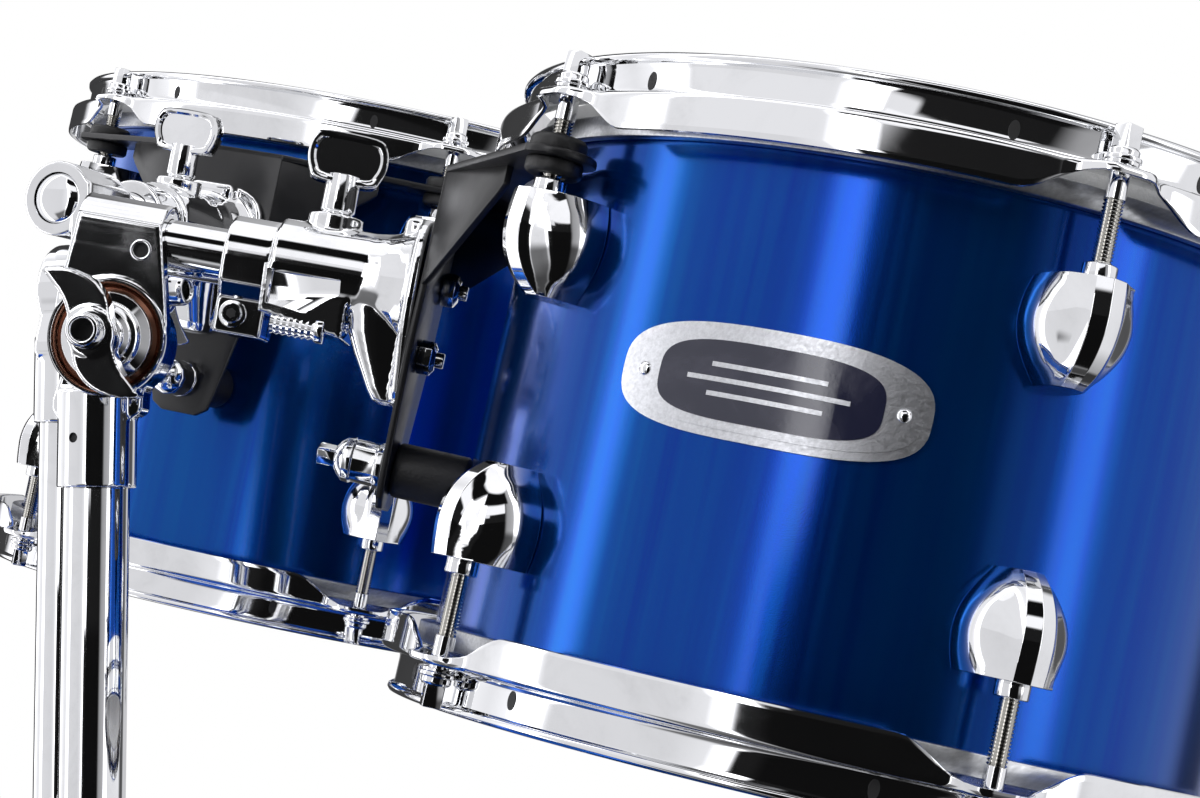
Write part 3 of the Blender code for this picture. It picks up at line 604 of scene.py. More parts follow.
class Form:
    """A piece's mesh while bmesh operators shape it, in the frame of its own sub-assembly."""

    def __init__(self) -> None:
        """Starts empty."""
        self.bm = bmesh.new()

    def _take(self, part: bmesh.types.BMesh, place: Matrix, slot: int = 0, bevel: float = 0.0,
              segments: int = 2) -> "Form":
        """Bevels a closed part, turns its faces outwards and adds it.

        Args:
            part: The part, which is used up.
            place: Where the shape goes.
            slot: Number of its finish.
            bevel: Width of the bevel on its sharp edges.
            segments: Number of the bevel's steps.

        Returns:
            The form itself.
        """
        bmesh.ops.remove_doubles(part, verts=part.verts, dist=MERGE)
        bmesh.ops.recalc_face_normals(part, faces=part.faces)
        part.normal_update()
        if bevel:
            sharp = [edge for edge in part.edges if edge.is_manifold and edge.calc_face_angle(0.0) > SHARP]
            bmesh.ops.bevel(part, geom=sharp, offset=bevel, segments=segments, profile=0.5, affect="EDGES",
                            material=-1, clamp_overlap=True)
        bmesh.ops.transform(part, matrix=place, verts=part.verts)
        if place.to_3x3().determinant() < 0:
            bmesh.ops.reverse_faces(part, faces=part.faces)
        for face in part.faces:
            face.material_index = slot
        mesh = bpy.data.meshes.new("part")
        part.to_mesh(mesh)
        part.free()
        self.bm.from_mesh(mesh)
        bpy.data.meshes.remove(mesh)
        return self

    def spun(self, profile: Sequence[Point], steps: int, place: Matrix = Matrix(), slot: int = 0,
             closed: bool = False, bevel: float = 0.0) -> "Form":
        """Turns a profile about Z.

        Args:
            profile: Points as (radius, height). An open one starts and ends on the axis.
            steps: Number of steps round the axis.
            place: Where the turned shape goes.
            slot: Number of its finish.
            closed: True for a ring's section.
            bevel: Width of the bevel on its sharp edges.

        Returns:
            The form itself.
        """
        part = bmesh.new()
        verts = [part.verts.new((radius, 0.0, height)) for radius, height in profile]
        pairs = list(zip(verts, verts[1:])) + ([(verts[-1], verts[0])] if closed else [])
        edges = [part.edges.new(pair) for pair in pairs]
        bmesh.ops.spin(part, geom=verts + edges, cent=(0, 0, 0), axis=(0, 0, 1), angle=math.tau, steps=steps,
                       use_merge=True, use_duplicate=False)
        return self._take(part, place, slot, bevel)

    def rod(self, radius: float, low: float, high: float, place: Matrix = Matrix(), slot: int = 0,
            steps: int = 32, bevel: float = 0.0) -> "Form":
        """A cylinder along Z from low to high.

        Args:
            radius: Its radius.
            low: Height of its lower end.
            high: Height of its upper end.
            place: Where the shape goes.
            slot: Number of its finish.
            steps: Number of its sides.
            bevel: Width of the bevel on its sharp edges.

        Returns:
            The form itself.
        """
        part = bmesh.new()
        bmesh.ops.create_cone(part, cap_ends=True, segments=steps, radius1=radius, radius2=radius,
                              depth=high - low, matrix=move(0, 0, (low + high) / 2))
        return self._take(part, place, slot, bevel)

    def screw(self, radius: float, low: float, high: float, steps: int, place: Matrix = Matrix(), slot: int = 1,
              pitch: float = 0.0010) -> "Form":
        """A threaded rod along Z, with a groove for each turn of the thread.

        Args:
            radius: Radius at the crests.
            low: Height of its lower end.
            high: Height of its upper end.
            steps: Number of its sides.
            place: Where the shape goes.
            slot: Number of its finish.
            pitch: Distance from crest to crest.

        Returns:
            The form itself.
        """
        count = max(int((high - low) / pitch), 1)
        step = (high - low) / count
        profile = [(0, low), (radius, low)]
        for k in range(count):
            profile += [(radius - THREAD_DEPTH, low + (k + 0.5) * step), (radius, low + (k + 1) * step)]
        return self.spun([(0, high), *reversed(profile)], steps, place, slot)

    def box(self, low: Solid, high: Solid, place: Matrix = Matrix(), bevel: float = 0.0,
            segments: int = 2) -> "Form":
        """A box between two corners.

        Args:
            low: The lowest corner.
            high: The highest corner.
            place: Where the shape goes.
            bevel: Width of the bevel on its sharp edges.
            segments: Number of the bevel's steps.

        Returns:
            The form itself.
        """
        part = bmesh.new()
        size = Vector(high) - Vector(low)
        middle = Matrix.Translation((Vector(high) + Vector(low)) / 2)
        bmesh.ops.create_cube(part, size=1.0, matrix=middle @ Matrix.Diagonal((*size, 1)))
        return self._take(part, place, 0, bevel, segments)

    def prism(self, outline: Sequence[Point], low: float, high: float, place: Matrix = Matrix(), slot: int = 0,
              bevel: float = 0.0, segments: int = 2) -> "Form":
        """A flat outline in XY, extruded from low to high.

        Args:
            outline: Points as (x, y).
            low: Height of its lower face.
            high: Height of its upper face.
            place: Where the shape goes.
            slot: Number of its finish.
            bevel: Width of the bevel on its sharp edges.
            segments: Number of the bevel's steps.

        Returns:
            The form itself.
        """
        part = bmesh.new()
        face = part.faces.new([part.verts.new((x, y, low)) for x, y in outline])
        made = bmesh.ops.extrude_face_region(part, geom=[face])["geom"]
        top = [item for item in made if isinstance(item, bmesh.types.BMVert)]
        bmesh.ops.translate(part, vec=(0, 0, high - low), verts=top)
        return self._take(part, place, slot, bevel, segments)

    def loft(self, sections: Iterable[Sequence[Solid]], place: Matrix = Matrix(), closed: bool = False) -> "Form":
        """A closed shape through rings of points that each have the same count.

        Args:
            sections: The rings of points, from end to end.
            place: Where the shape goes.
            closed: True to join the last ring to the first, and False to cap both.

        Returns:
            The form itself.
        """
        part = bmesh.new()
        rings = []
        for section in sections:
            verts = [part.verts.new(point) for point in section]
            rings.append([part.edges.new(pair) for pair in zip(verts, verts[1:] + verts[:1])])
        for lower, upper in zip(rings, rings[1:] + rings[:1] if closed else rings[1:]):
            bmesh.ops.bridge_loops(part, edges=lower + upper)
        if not closed:
            for ring in (rings[0], rings[-1]):
                bmesh.ops.contextual_create(part, geom=ring)
        return self._take(part, place)

    def ball(self, radius: float, place: Matrix = Matrix(), slot: int = 0) -> "Form":
        """A small ball.

        Args:
            radius: Its radius.
            place: Where the shape goes.
            slot: Number of its finish.

        Returns:
            The form itself.
        """
        part = bmesh.new()
        bmesh.ops.create_uvsphere(part, u_segments=24, v_segments=12, radius=radius)
        return self._take(part, place, slot)

    def copies(self, other: "Form", places: Iterable[Matrix]) -> "Form":
        """Adds another form at each place.

        Args:
            other: The form that is repeated, which stays.
            places: One place for each copy.

        Returns:
            The form itself.
        """
        mesh = other.mesh("copy")
        for place in places:
            part = bmesh.new()
            part.from_mesh(mesh)
            bmesh.ops.transform(part, matrix=place, verts=part.verts)
            moved = bpy.data.meshes.new("copy")
            part.to_mesh(moved)
            part.free()
            self.bm.from_mesh(moved)
            bpy.data.meshes.remove(moved)
        bpy.data.meshes.remove(mesh)
        return self

    def worked(self, work: Callable[[Vector], Solid]) -> "Form":
        """Moves every vertex to where a rule puts it.

        Args:
            work: Gives a vertex's new place from its old one.

        Returns:
            The form itself.
        """
        for vert in self.bm.verts:
            vert.co = work(vert.co)
        return self

    def mesh(self, name: str, place: Matrix = Matrix()) -> bpy.types.Mesh:
        """The form as a mesh, with its place applied. The form stays.

        Args:
            name: The mesh's name.
            place: The place that is applied.

        Returns:
            The mesh.
        """
        mesh = bpy.data.meshes.new(name)
        self.bm.to_mesh(mesh)
        mesh.transform(place)
        return mesh

    def cast(self, voxel: float, passes: int, *bores: "Form") -> "Form":
        """Melts overlapping solids into one casting with soft fillets, and cuts its bores.

        Args:
            voxel: Grain of the melted shape.
            passes: Rounds of smoothing.
            *bores: Shapes that are cut out one after the other, with crisp edges.

        Returns:
            The casting as a new form.
        """
        body = bpy.data.objects.new("casting", self.mesh("casting"))
        bpy.context.scene.collection.objects.link(body)
        melt = body.modifiers.new("melt", "REMESH")
        melt.mode = "VOXEL"
        melt.voxel_size = voxel * 1.0
        melt.use_smooth_shade = True
        polish = body.modifiers.new("polish", "SMOOTH")
        polish.factor = 0.5
        polish.iterations = passes
        tools = []
        for bore in bores:
            tool = bpy.data.objects.new("bore", bore.mesh("bore"))
            bpy.context.scene.collection.objects.link(tool)
            cut = body.modifiers.new("bore", "BOOLEAN")
            cut.operation = "DIFFERENCE"
            cut.object = tool
            cut.solver = "EXACT"
            tools.append(tool)
        graph = bpy.context.evaluated_depsgraph_get()
        mesh = bpy.data.meshes.new_from_object(body.evaluated_get(graph))
        for obj in (body, *tools):
            bpy.data.objects.remove(obj, do_unlink=True)
        made = Form()
        made.bm.from_mesh(mesh)
        bpy.data.meshes.remove(mesh)
        return made


@dataclass(frozen=True)
class Home:
    """Where a piece belongs: the body that it rides, its frame, and the CAD nodes that it stands for."""

    body: str
    place: Matrix
    nodes: tuple[str, ...] = ()


def dress(form: Form, name: str, home: Home, finishes: Sequence[Finish], bevel: float = 0.0,
          angle: float = 38.0) -> bpy.types.Object:
    """Makes a finished piece of a form, puts it on its body and reports it.

    Args:
        form: The piece's shape in its own frame.
        name: The piece's name.
        home: Its body, frame and CAD nodes.
        finishes: Its finishes, in the order of the form's slots.
        bevel: Width of a live bevel on its sharp edges.
        angle: Widest angle in degrees that is shaded smooth.

    Returns:
        The piece's object.
    """
    mesh = form.mesh(name, home.place)
    for finish in finishes:
        mesh.materials.append(finish.material())
    mesh.shade_smooth()
    mesh.set_sharp_from_angle(angle=math.radians(angle))
    obj = bpy.data.objects.new(name, mesh)
    bpy.context.scene.collection.objects.link(obj)
    if bevel:
        modifier = obj.modifiers.new("edges", "BEVEL")
        modifier.width = bevel
        modifier.segments = 2
        modifier.limit_method = "ANGLE"
        modifier.angle_limit = math.radians(LIVE_BEVEL_ANGLE)
        modifier.harden_normals = True
    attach(obj, home.body)
    if home.nodes:
        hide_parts(*home.nodes)
    LOG.info("%s: %d vertices on %s", name, len(mesh.vertices), home.body)
    return obj


def wing_bolt(low: float, seat: float, top: float, half: float) -> Form:
    """A wing bolt along Z.

    Args:
        low: Height of its tip.
        seat: Height of the boss that its collar sits on.
        top: Height where the handle starts.
        half: Half of the handle's width.

    Returns:
        The bolt, its thread in slot 1.
    """
    form = Form().spun([(0, top + 0.002), (0.0058, top + 0.002), (0.0058, seat + 0.0014), (0.0050, seat + 0.0006),
                        (0.0050, seat), (0, seat)], 32, bevel=0.0004)
    form.screw(0.0040, low, seat + 0.001, 24)
    height = 0.017
    right = [(half - 0.0050, -0.0085), (half - 0.0014, -0.0052), (half, 0.0004), (half - 0.0012, 0.0058),
             (half - 0.0052, 0.0085)]
    outline = through([*right, *[(-x, y) for x, y in reversed(right)]], 4)
    stand = move(0, 0, top + height / 2 - 0.001) @ turn("X", 90)
    form.prism(outline, -0.0028, 0.0028, stand)
    ring = Form()
    sections = [(0.80, 0.72, 0.0), (0.80, 0.72, 0.0036), (0.86, 0.82, 0.0043), (0.95, 0.94, 0.0043),
                (1.0, 1.0, 0.0034), (1.0, 1.0, 0.0)]
    for side in (0.0, 180.0):
        ring.loft([[(wide * x, tall * y, depth) for x, y in outline] for wide, tall, depth in sections],
                  stand @ turn("Y", side), closed=True)
    form.copies(ring, [Matrix()])
    return form


def shell_form(radius: float, inner: float, low: float, high: float, rim: float, slope: float,
               steps: int) -> Form:
    """A drum shell along Z with its bearing edges, its inside in slot 1.

    Args:
        radius: Its outer radius.
        inner: Its inner radius.
        low: Height of its lower edge.
        high: Height of its upper edge.
        rim: How far inside the outer radius the edges' crest ends.
        slope: Height of the slope inside the edges.
        steps: Number of steps round it.

    Returns:
        The shell.
    """
    form = Form().spun([(radius, high - SHELL_ROUND), (radius, low + SHELL_ROUND), (radius - SHELL_ROUND, low),
                        (radius - rim, low), (inner, low + slope), (inner, high - slope), (radius - rim, high),
                        (radius - SHELL_ROUND, high)], steps, closed=True)
    for face in form.bm.faces:
        middle = face.calc_center_median()
        face.material_index = 1 if math.hypot(middle.x, middle.y) < radius - 0.9 * SHELL_ROUND else 0
    return form


def head_form(radius: float, bend: float, rim: Solid, bevel: float, steps: int) -> Form:
    """A head over a shell's edge at Z = 0: its film with the collar, and its rim in slot 1.

    Args:
        radius: The shell's radius.
        bend: Width of the film's bend at the edge.
        rim: How far the rim stands out, its top and its foot.
        bevel: Width of the rim's bevels.
        steps: Number of steps round it.

    Returns:
        The head.
    """
    collar, skirt, foot = radius + 0.0012, radius + 0.0004, -0.0060
    form = Form().spun([(0, 0.0010), (radius - bend, 0.0010), (collar - 0.0006, 0.0006), (collar, -0.1 * bend),
                        (collar, foot), (skirt, foot), (skirt, GAP), (0, GAP)], steps)
    out, high, low = rim
    return form.spun([(radius + out, high), (radius + out, low), (radius + 0.0008, low), (radius + 0.0008, high)],
                     steps, slot=1, closed=True, bevel=bevel)


# --------------------------------------------------------------------------- holders and toms


@dataclass(frozen=True)
class Holder:
    """Where one tom hangs, how its holder stands, and the frames along it."""

    name: str
    side: int
    radius: float
    depth: float
    rods: int
    yaw: float
    slope: float
    roll_angle: float
    hinge_z: float
    has_badge: bool = False
    spread: float = 0.049
    ahead: float = 0.0065
    lift: float = 0.034
    reach: float = 0.1005
    standoff: float = 0.0255
    plate: float = 0.0025
    pitch: float = 2.4
    below: float = 0.060

    def post(self) -> Matrix:
        """The frame of the post."""
        return KIT_PLACE @ move(self.side * self.spread, 0, 0)

    def swivel(self) -> Matrix:
        """The frame that turns on the post, its X towards the tom."""
        return self.post() @ move(0, 0, self.hinge_z) @ turn("Z", self.yaw)

    def tilt(self) -> Matrix:
        """The frame that tilts at the clutch."""
        return self.swivel() @ move(self.ahead, 0, 0) @ turn("Y", self.slope)

    def arm(self) -> Matrix:
        """The frame of the arm, its X along the tube."""
        return self.tilt() @ move(0, 0, self.lift)

    def tom(self) -> Matrix:
        """The frame of the tom, its Z along the drum's axis."""
        roll = self.arm() @ move(self.reach, 0, 0) @ turn("X", self.roll_angle)
        return roll @ turn("Y", self.pitch) @ move(self.radius + self.standoff + self.plate, 0, 0)

    def angles(self) -> list[float]:
        """Angles of the lugs in degrees, in the tom's frame."""
        return [180.0 + (k + 0.5) * 360.0 / self.rods for k in range(self.rods)]


NEAR = Holder("near", 1, 0.127, 0.178, 5, 69.0, 10.0, -2.4, 0.780, has_badge=True)
FAR = Holder("far", -1, 0.1524, 0.203, 6, 142.0, 0.7, 10.9, 0.806)


@dataclass
class TomDrum:
    """A rack tom: shell, heads, flanged hoops, rods, lugs and badge."""

    holder: Holder
    wall: float = 0.0065
    rod_standoff: float = ROD_STANDOFF
    hoop_rise: float = 0.012
    lug_from_edge: float = 0.033
    lug_length: float = 0.0305
    vent_angle: float = 12.5
    steps: int = 180

    def build(self) -> None:
        """Builds and dresses every piece of the tom."""
        self.body = f"{self.holder.name}_tom"
        self.place = self.holder.tom()
        self.high = self.holder.below
        self.low = self.holder.below - self.holder.depth
        self.lacquer = lacquer_for(f"{self.holder.name}_blue_lacquer", self.place)
        self.build_shell()
        lug = self.lug_form()
        for row, flip in (("upper", False), ("lower", True)):
            self.build_lugs(lug, row, flip)
        for end, flip in (("batter", False), ("resonant", True)):
            self.build_end(end, flip)
        if self.holder.has_badge:
            self.build_badge()

    def end_place(self, flip: bool) -> Matrix:
        """The frame of one end: Z = 0 at the shell's edge, pointing away from the drum."""
        return self.place @ (move(0, 0, self.low) @ turn("X", 180) if flip else move(0, 0, self.high))

    def rod_places(self, flip: bool, radius: float) -> list[Matrix]:
        """Places round an end at the lugs' angles, X outwards."""
        sign = -1 if flip else 1
        return [turn("Z", sign * angle) @ move(radius, 0, 0) for angle in self.holder.angles()]

    def build_shell(self) -> None:
        """The lacquered shell with its bare wood inside and its bearing edges."""
        name, radius = self.holder.name, self.holder.radius
        form = shell_form(radius, radius - self.wall, self.low, self.high, 0.0022, 0.0042, self.steps)
        dress(form, f"{name}_lacquered_shell", Home(self.body, self.place, (f"{name}_tom_shell",)),
              (self.lacquer, PLY), angle=30)

    def lug_form(self) -> Form:
        """A petal-sided lug: its base at X = 0, its rod end at Z = 0, its tip below.

        Returns:
            The lug.
        """
        # along, base half-width, crease height, crease half-width, strip half-width, ridge height, bulge
        stations = ((0.00, 0.0122, 0.0168, 0.0104, 0.0045, 0.0246, 0.0010),
                    (0.18, 0.0138, 0.0194, 0.0086, 0.0046, 0.0253, 0.0026),
                    (0.40, 0.0144, 0.0206, 0.0072, 0.0046, 0.0256, 0.0038),
                    (0.62, 0.0131, 0.0189, 0.0067, 0.0044, 0.0241, 0.0035),
                    (0.82, 0.0099, 0.0152, 0.0062, 0.0040, 0.0204, 0.0021),
                    (0.94, 0.0073, 0.0115, 0.0056, 0.0036, 0.0164, 0.0008),
                    (1.00, 0.0060, 0.0094, 0.0050, 0.0033, 0.0136, 0.0003))
        sections = []
        count = 28
        for k in range(count + 1):
            t = k / count
            wide, rise, crease, strip, ridge, bulge = blended(stations, t)
            edge = ridge - 0.0016
            half = [(-0.0006, wide - 0.0002), (0.0010, wide)]
            away = Vector((wide - crease, rise - 0.0010)).normalized()
            for share in (0.14, 0.28, 0.42, 0.57, 0.71, 0.86):
                swell = bulge * 4 * share * (1 - share)
                half.append((0.0010 + (rise - 0.0010) * share + swell * away.x,
                             wide + (crease - wide) * share + swell * away.y))
            half += [(rise, crease), (0.5 * (rise + edge) - 0.0001, 0.5 * (crease + strip) - 0.0002), (edge, strip)]
            outline = mirrored(half, (ridge, 0.0))
            sections.append([(x, y, -t * self.lug_length) for x, y in outline])
        form = Form().loft(sections)
        at = self.rod_standoff - GAP
        form.spun([(0, 0.0044), (0.0050, 0.0044), (0.0050, -0.001), (0, -0.001)], 28, move(at, 0, 0), bevel=0.0004)
        return form

    def build_lugs(self, lug: Form, row: str, flip: bool) -> None:
        """One row of lugs: a piece for each on the near tom, one piece for the row on the far one.

        Args:
            lug: The form of one lug.
            row: Name of the row.
            flip: True for the lower row.
        """
        name = self.holder.name
        edge = self.low + self.lug_from_edge if flip else self.high - self.lug_from_edge
        upside = turn("X", 180) if flip else Matrix()
        places = [turn("Z", angle) @ move(self.holder.radius + GAP, 0, edge) @ upside
                  for angle in self.holder.angles()]
        own_nodes = f"{name}_{row}_lug_1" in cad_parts
        if own_nodes:
            for number, place in enumerate(places, 1):
                form = Form().copies(lug, [place])
                dress(form, f"{name}_{row}_lug_cast_{number}",
                      Home(self.body, self.place, (f"{name}_{row}_lug_{number}",)), (CHROME,), 0.00025, 24)
        else:
            dress(Form().copies(lug, places), f"{name}_{row}_lugs_cast", Home(self.body, self.place), (CHROME,),
                  0.00025, 24)

    def build_end(self, end: str, flip: bool) -> None:
        """A head with its rim, the hoop over it, and the tension rods.

        Args:
            end: Name of the head.
            flip: True for the lower end.
        """
        name, radius = self.holder.name, self.holder.radius
        place = self.end_place(flip)
        film = CLEAR if flip else COATED
        form = head_form(radius, 0.004, (0.0050, -0.0055, -0.0122), 0.0006, self.steps)
        dress(form, f"{name}_{end}_film", Home(self.body, place, (f"{name}_tom_{end}_head",)), (film, FLESH))
        word = "bottom" if flip else "top"
        hoop = self.hoop_form(flip)
        for vent in self.rod_places(flip, 0.0):
            # Painted shade: the band gets no cut, and a near-black disc on its face stands for each slot.
            for sign in (-1, 1):  # painted shade: a dark disc for each slot in the band, either side of each rod
                hole = vent @ turn("Z", sign * self.vent_angle) @ move(radius + 0.0080, 0, 0.0032)
                hoop.rod(0.0016, 0.0, 0.00095, hole @ Matrix.Diagonal((1, 1, 1.8, 1)) @ turn("Y", 90), slot=1, steps=20)
        dress(hoop, f"{name}_{word}_flanged_hoop", Home(self.body, place, (f"{name}_tom_{word}_hoop",)),
              (CHROME, RECESS_SHADE), angle=50)
        rods = Form().copies(self.rod_form(), self.rod_places(flip, radius + self.rod_standoff))
        dress(rods, f"{name}_{word}_tension_rods", Home(self.body, place), (CHROME, THREAD))

    def hoop_form(self, flip: bool) -> Form:
        """A triple-flanged hoop: rolled rim, band, pressing flange, and a skirt that arches at each rod.

        Args:
            flip: True for the lower hoop.

        Returns:
            The hoop.
        """
        radius, rise = self.holder.radius, self.hoop_rise
        section = [(0.0068, -0.0016), (0.0068, rise - 0.0028), (0.0069, rise - 0.0012), (0.0076, rise - 0.0002),
                   (0.0088, rise), (0.0100, rise - 0.0003), (0.0107, rise - 0.0012), (0.0105, rise - 0.0023),
                   (0.0097, rise - 0.0029), (0.0089, rise - 0.0033), (0.0088, rise - 0.0040), (0.0088, rise - 0.0048),
                   (0.0088, 0.0014), (0.0089, 0.0006),
                   (0.0093, -0.0006), (0.0101, -0.0011), (0.0128, -0.0012), (0.0142, -0.0014), (0.0150, -0.0020),
                   (0.0153, -0.0031), (0.0153, -0.0040), (0.0154, -0.0112), (0.0154, -0.0120), (0.0152, -0.0131),
                   (0.0146, -0.0134), (0.0139, -0.0130),
                   (0.0137, -0.0120), (0.0135, -0.0040), (0.0131, -0.0032), (0.0122, -0.0029), (0.0084, -0.0028),
                   (0.0073, -0.0025)]
        steps = 360
        form = Form().spun([(radius + r, z) for r, z in section], steps, closed=True)
        sign = -1 if flip else 1
        rods = [math.radians(sign * angle) for angle in self.holder.angles()]
        root = -0.0030

        def work(spot: Vector) -> Solid:
            """Lifts the skirt and widens the flange near the rods.

            Args:
                spot: The vertex's old place.

            Returns:
                Its new place.
            """
            around, out = math.atan2(spot.y, spot.x), math.hypot(spot.x, spot.y)
            turned = min(abs(math.remainder(around - rod, math.tau)) for rod in rods)
            apart = turned * (radius + self.rod_standoff)
            skirt = 0.10 + 0.90 * ease(apart, 0.0075, 0.0290)
            tab = 1.0 - ease(apart, 0.0050, 0.0140)
            z = root + (spot.z - root) * skirt if spot.z < root else spot.z
            share = ease(out - radius, 0.0100, 0.0140) if spot.z < -0.0008 else 0.0
            wide = out + share * (0.0072 * tab + 0.0004)
            return (wide * math.cos(around), wide * math.sin(around), z)

        return form.worked(work)

    def rod_form(self) -> Form:
        """A tension rod along Z: square key head, washers, shank and thread.

        Returns:
            The rod, its thread in slot 1.
        """
        foot = -self.lug_from_edge + 0.001
        form = Form().spun([(0, 0.0046), (0.0040, 0.0046), (0.0046, 0.0038), (0.0046, 0.0022), (0.0056, 0.0020),
                            (0.0056, 0.0008), (0.0050, 0.0006), (0.0050, -0.0004), (0, -0.0004)], 28, bevel=0.0002)
        half = 0.0029
        form.box((-half, -half, 0.0030), (half, half, 0.0113), turn("Z", 20), bevel=0.0005)
        form.rod(0.0031, -0.0100, 0.0010, steps=24)
        form.screw(0.0030, foot, -0.0095, 20)
        return form

    def build_badge(self) -> None:
        """A plain badge between two lugs: rounded plate, dark panel with plain bars, two rivets."""
        radius, at = self.holder.radius, math.radians(252.6)
        outline = superellipse(0.0470, 0.0165, 3.0)
        form = Form().prism(outline, 0.0, 0.0009)
        form.prism(superellipse(0.0445, 0.0140, 3.0), 0.0006, 0.0012)
        form.prism(superellipse(0.0335, 0.0115, 3.4), 0.0009, 0.0016, slot=1)
        for height in (-0.0042, 0.0, 0.0042):
            half = 0.0240 if height == 0.0 else 0.0170
            bar = [(-half, height - 0.0007), (half, height - 0.0007), (half, height + 0.0007), (-half, height + 0.0007)]
            form.prism(bar, 0.0012, 0.0018)
        for side in (-1, 1):
            form.ball(0.0022, move(side * 0.0390, 0, 0.0009) @ Matrix.Diagonal((1, 1, 0.6, 1)), slot=2)
        for k in range(-9, 10):
            bmesh.ops.bisect_plane(form.bm, geom=[*form.bm.verts, *form.bm.edges, *form.bm.faces],
                                   plane_co=(k * 0.005, 0, 0), plane_no=(1, 0, 0))

        def wrap(spot: Vector) -> Solid:
            """Bends the flat badge round the shell.

            Args:
                spot: The vertex's old place.

            Returns:
                Its new place.
            """
            angle = at + spot.x / radius
            out = radius + 0.0001 + spot.z
            return (out * math.cos(angle), out * math.sin(angle), -0.0200 + spot.y)

        form.worked(wrap)
        dress(form, f"{self.holder.name}_badge", Home(self.body, self.place), (SILVER, ENAMEL, CHROME), 0.0002)


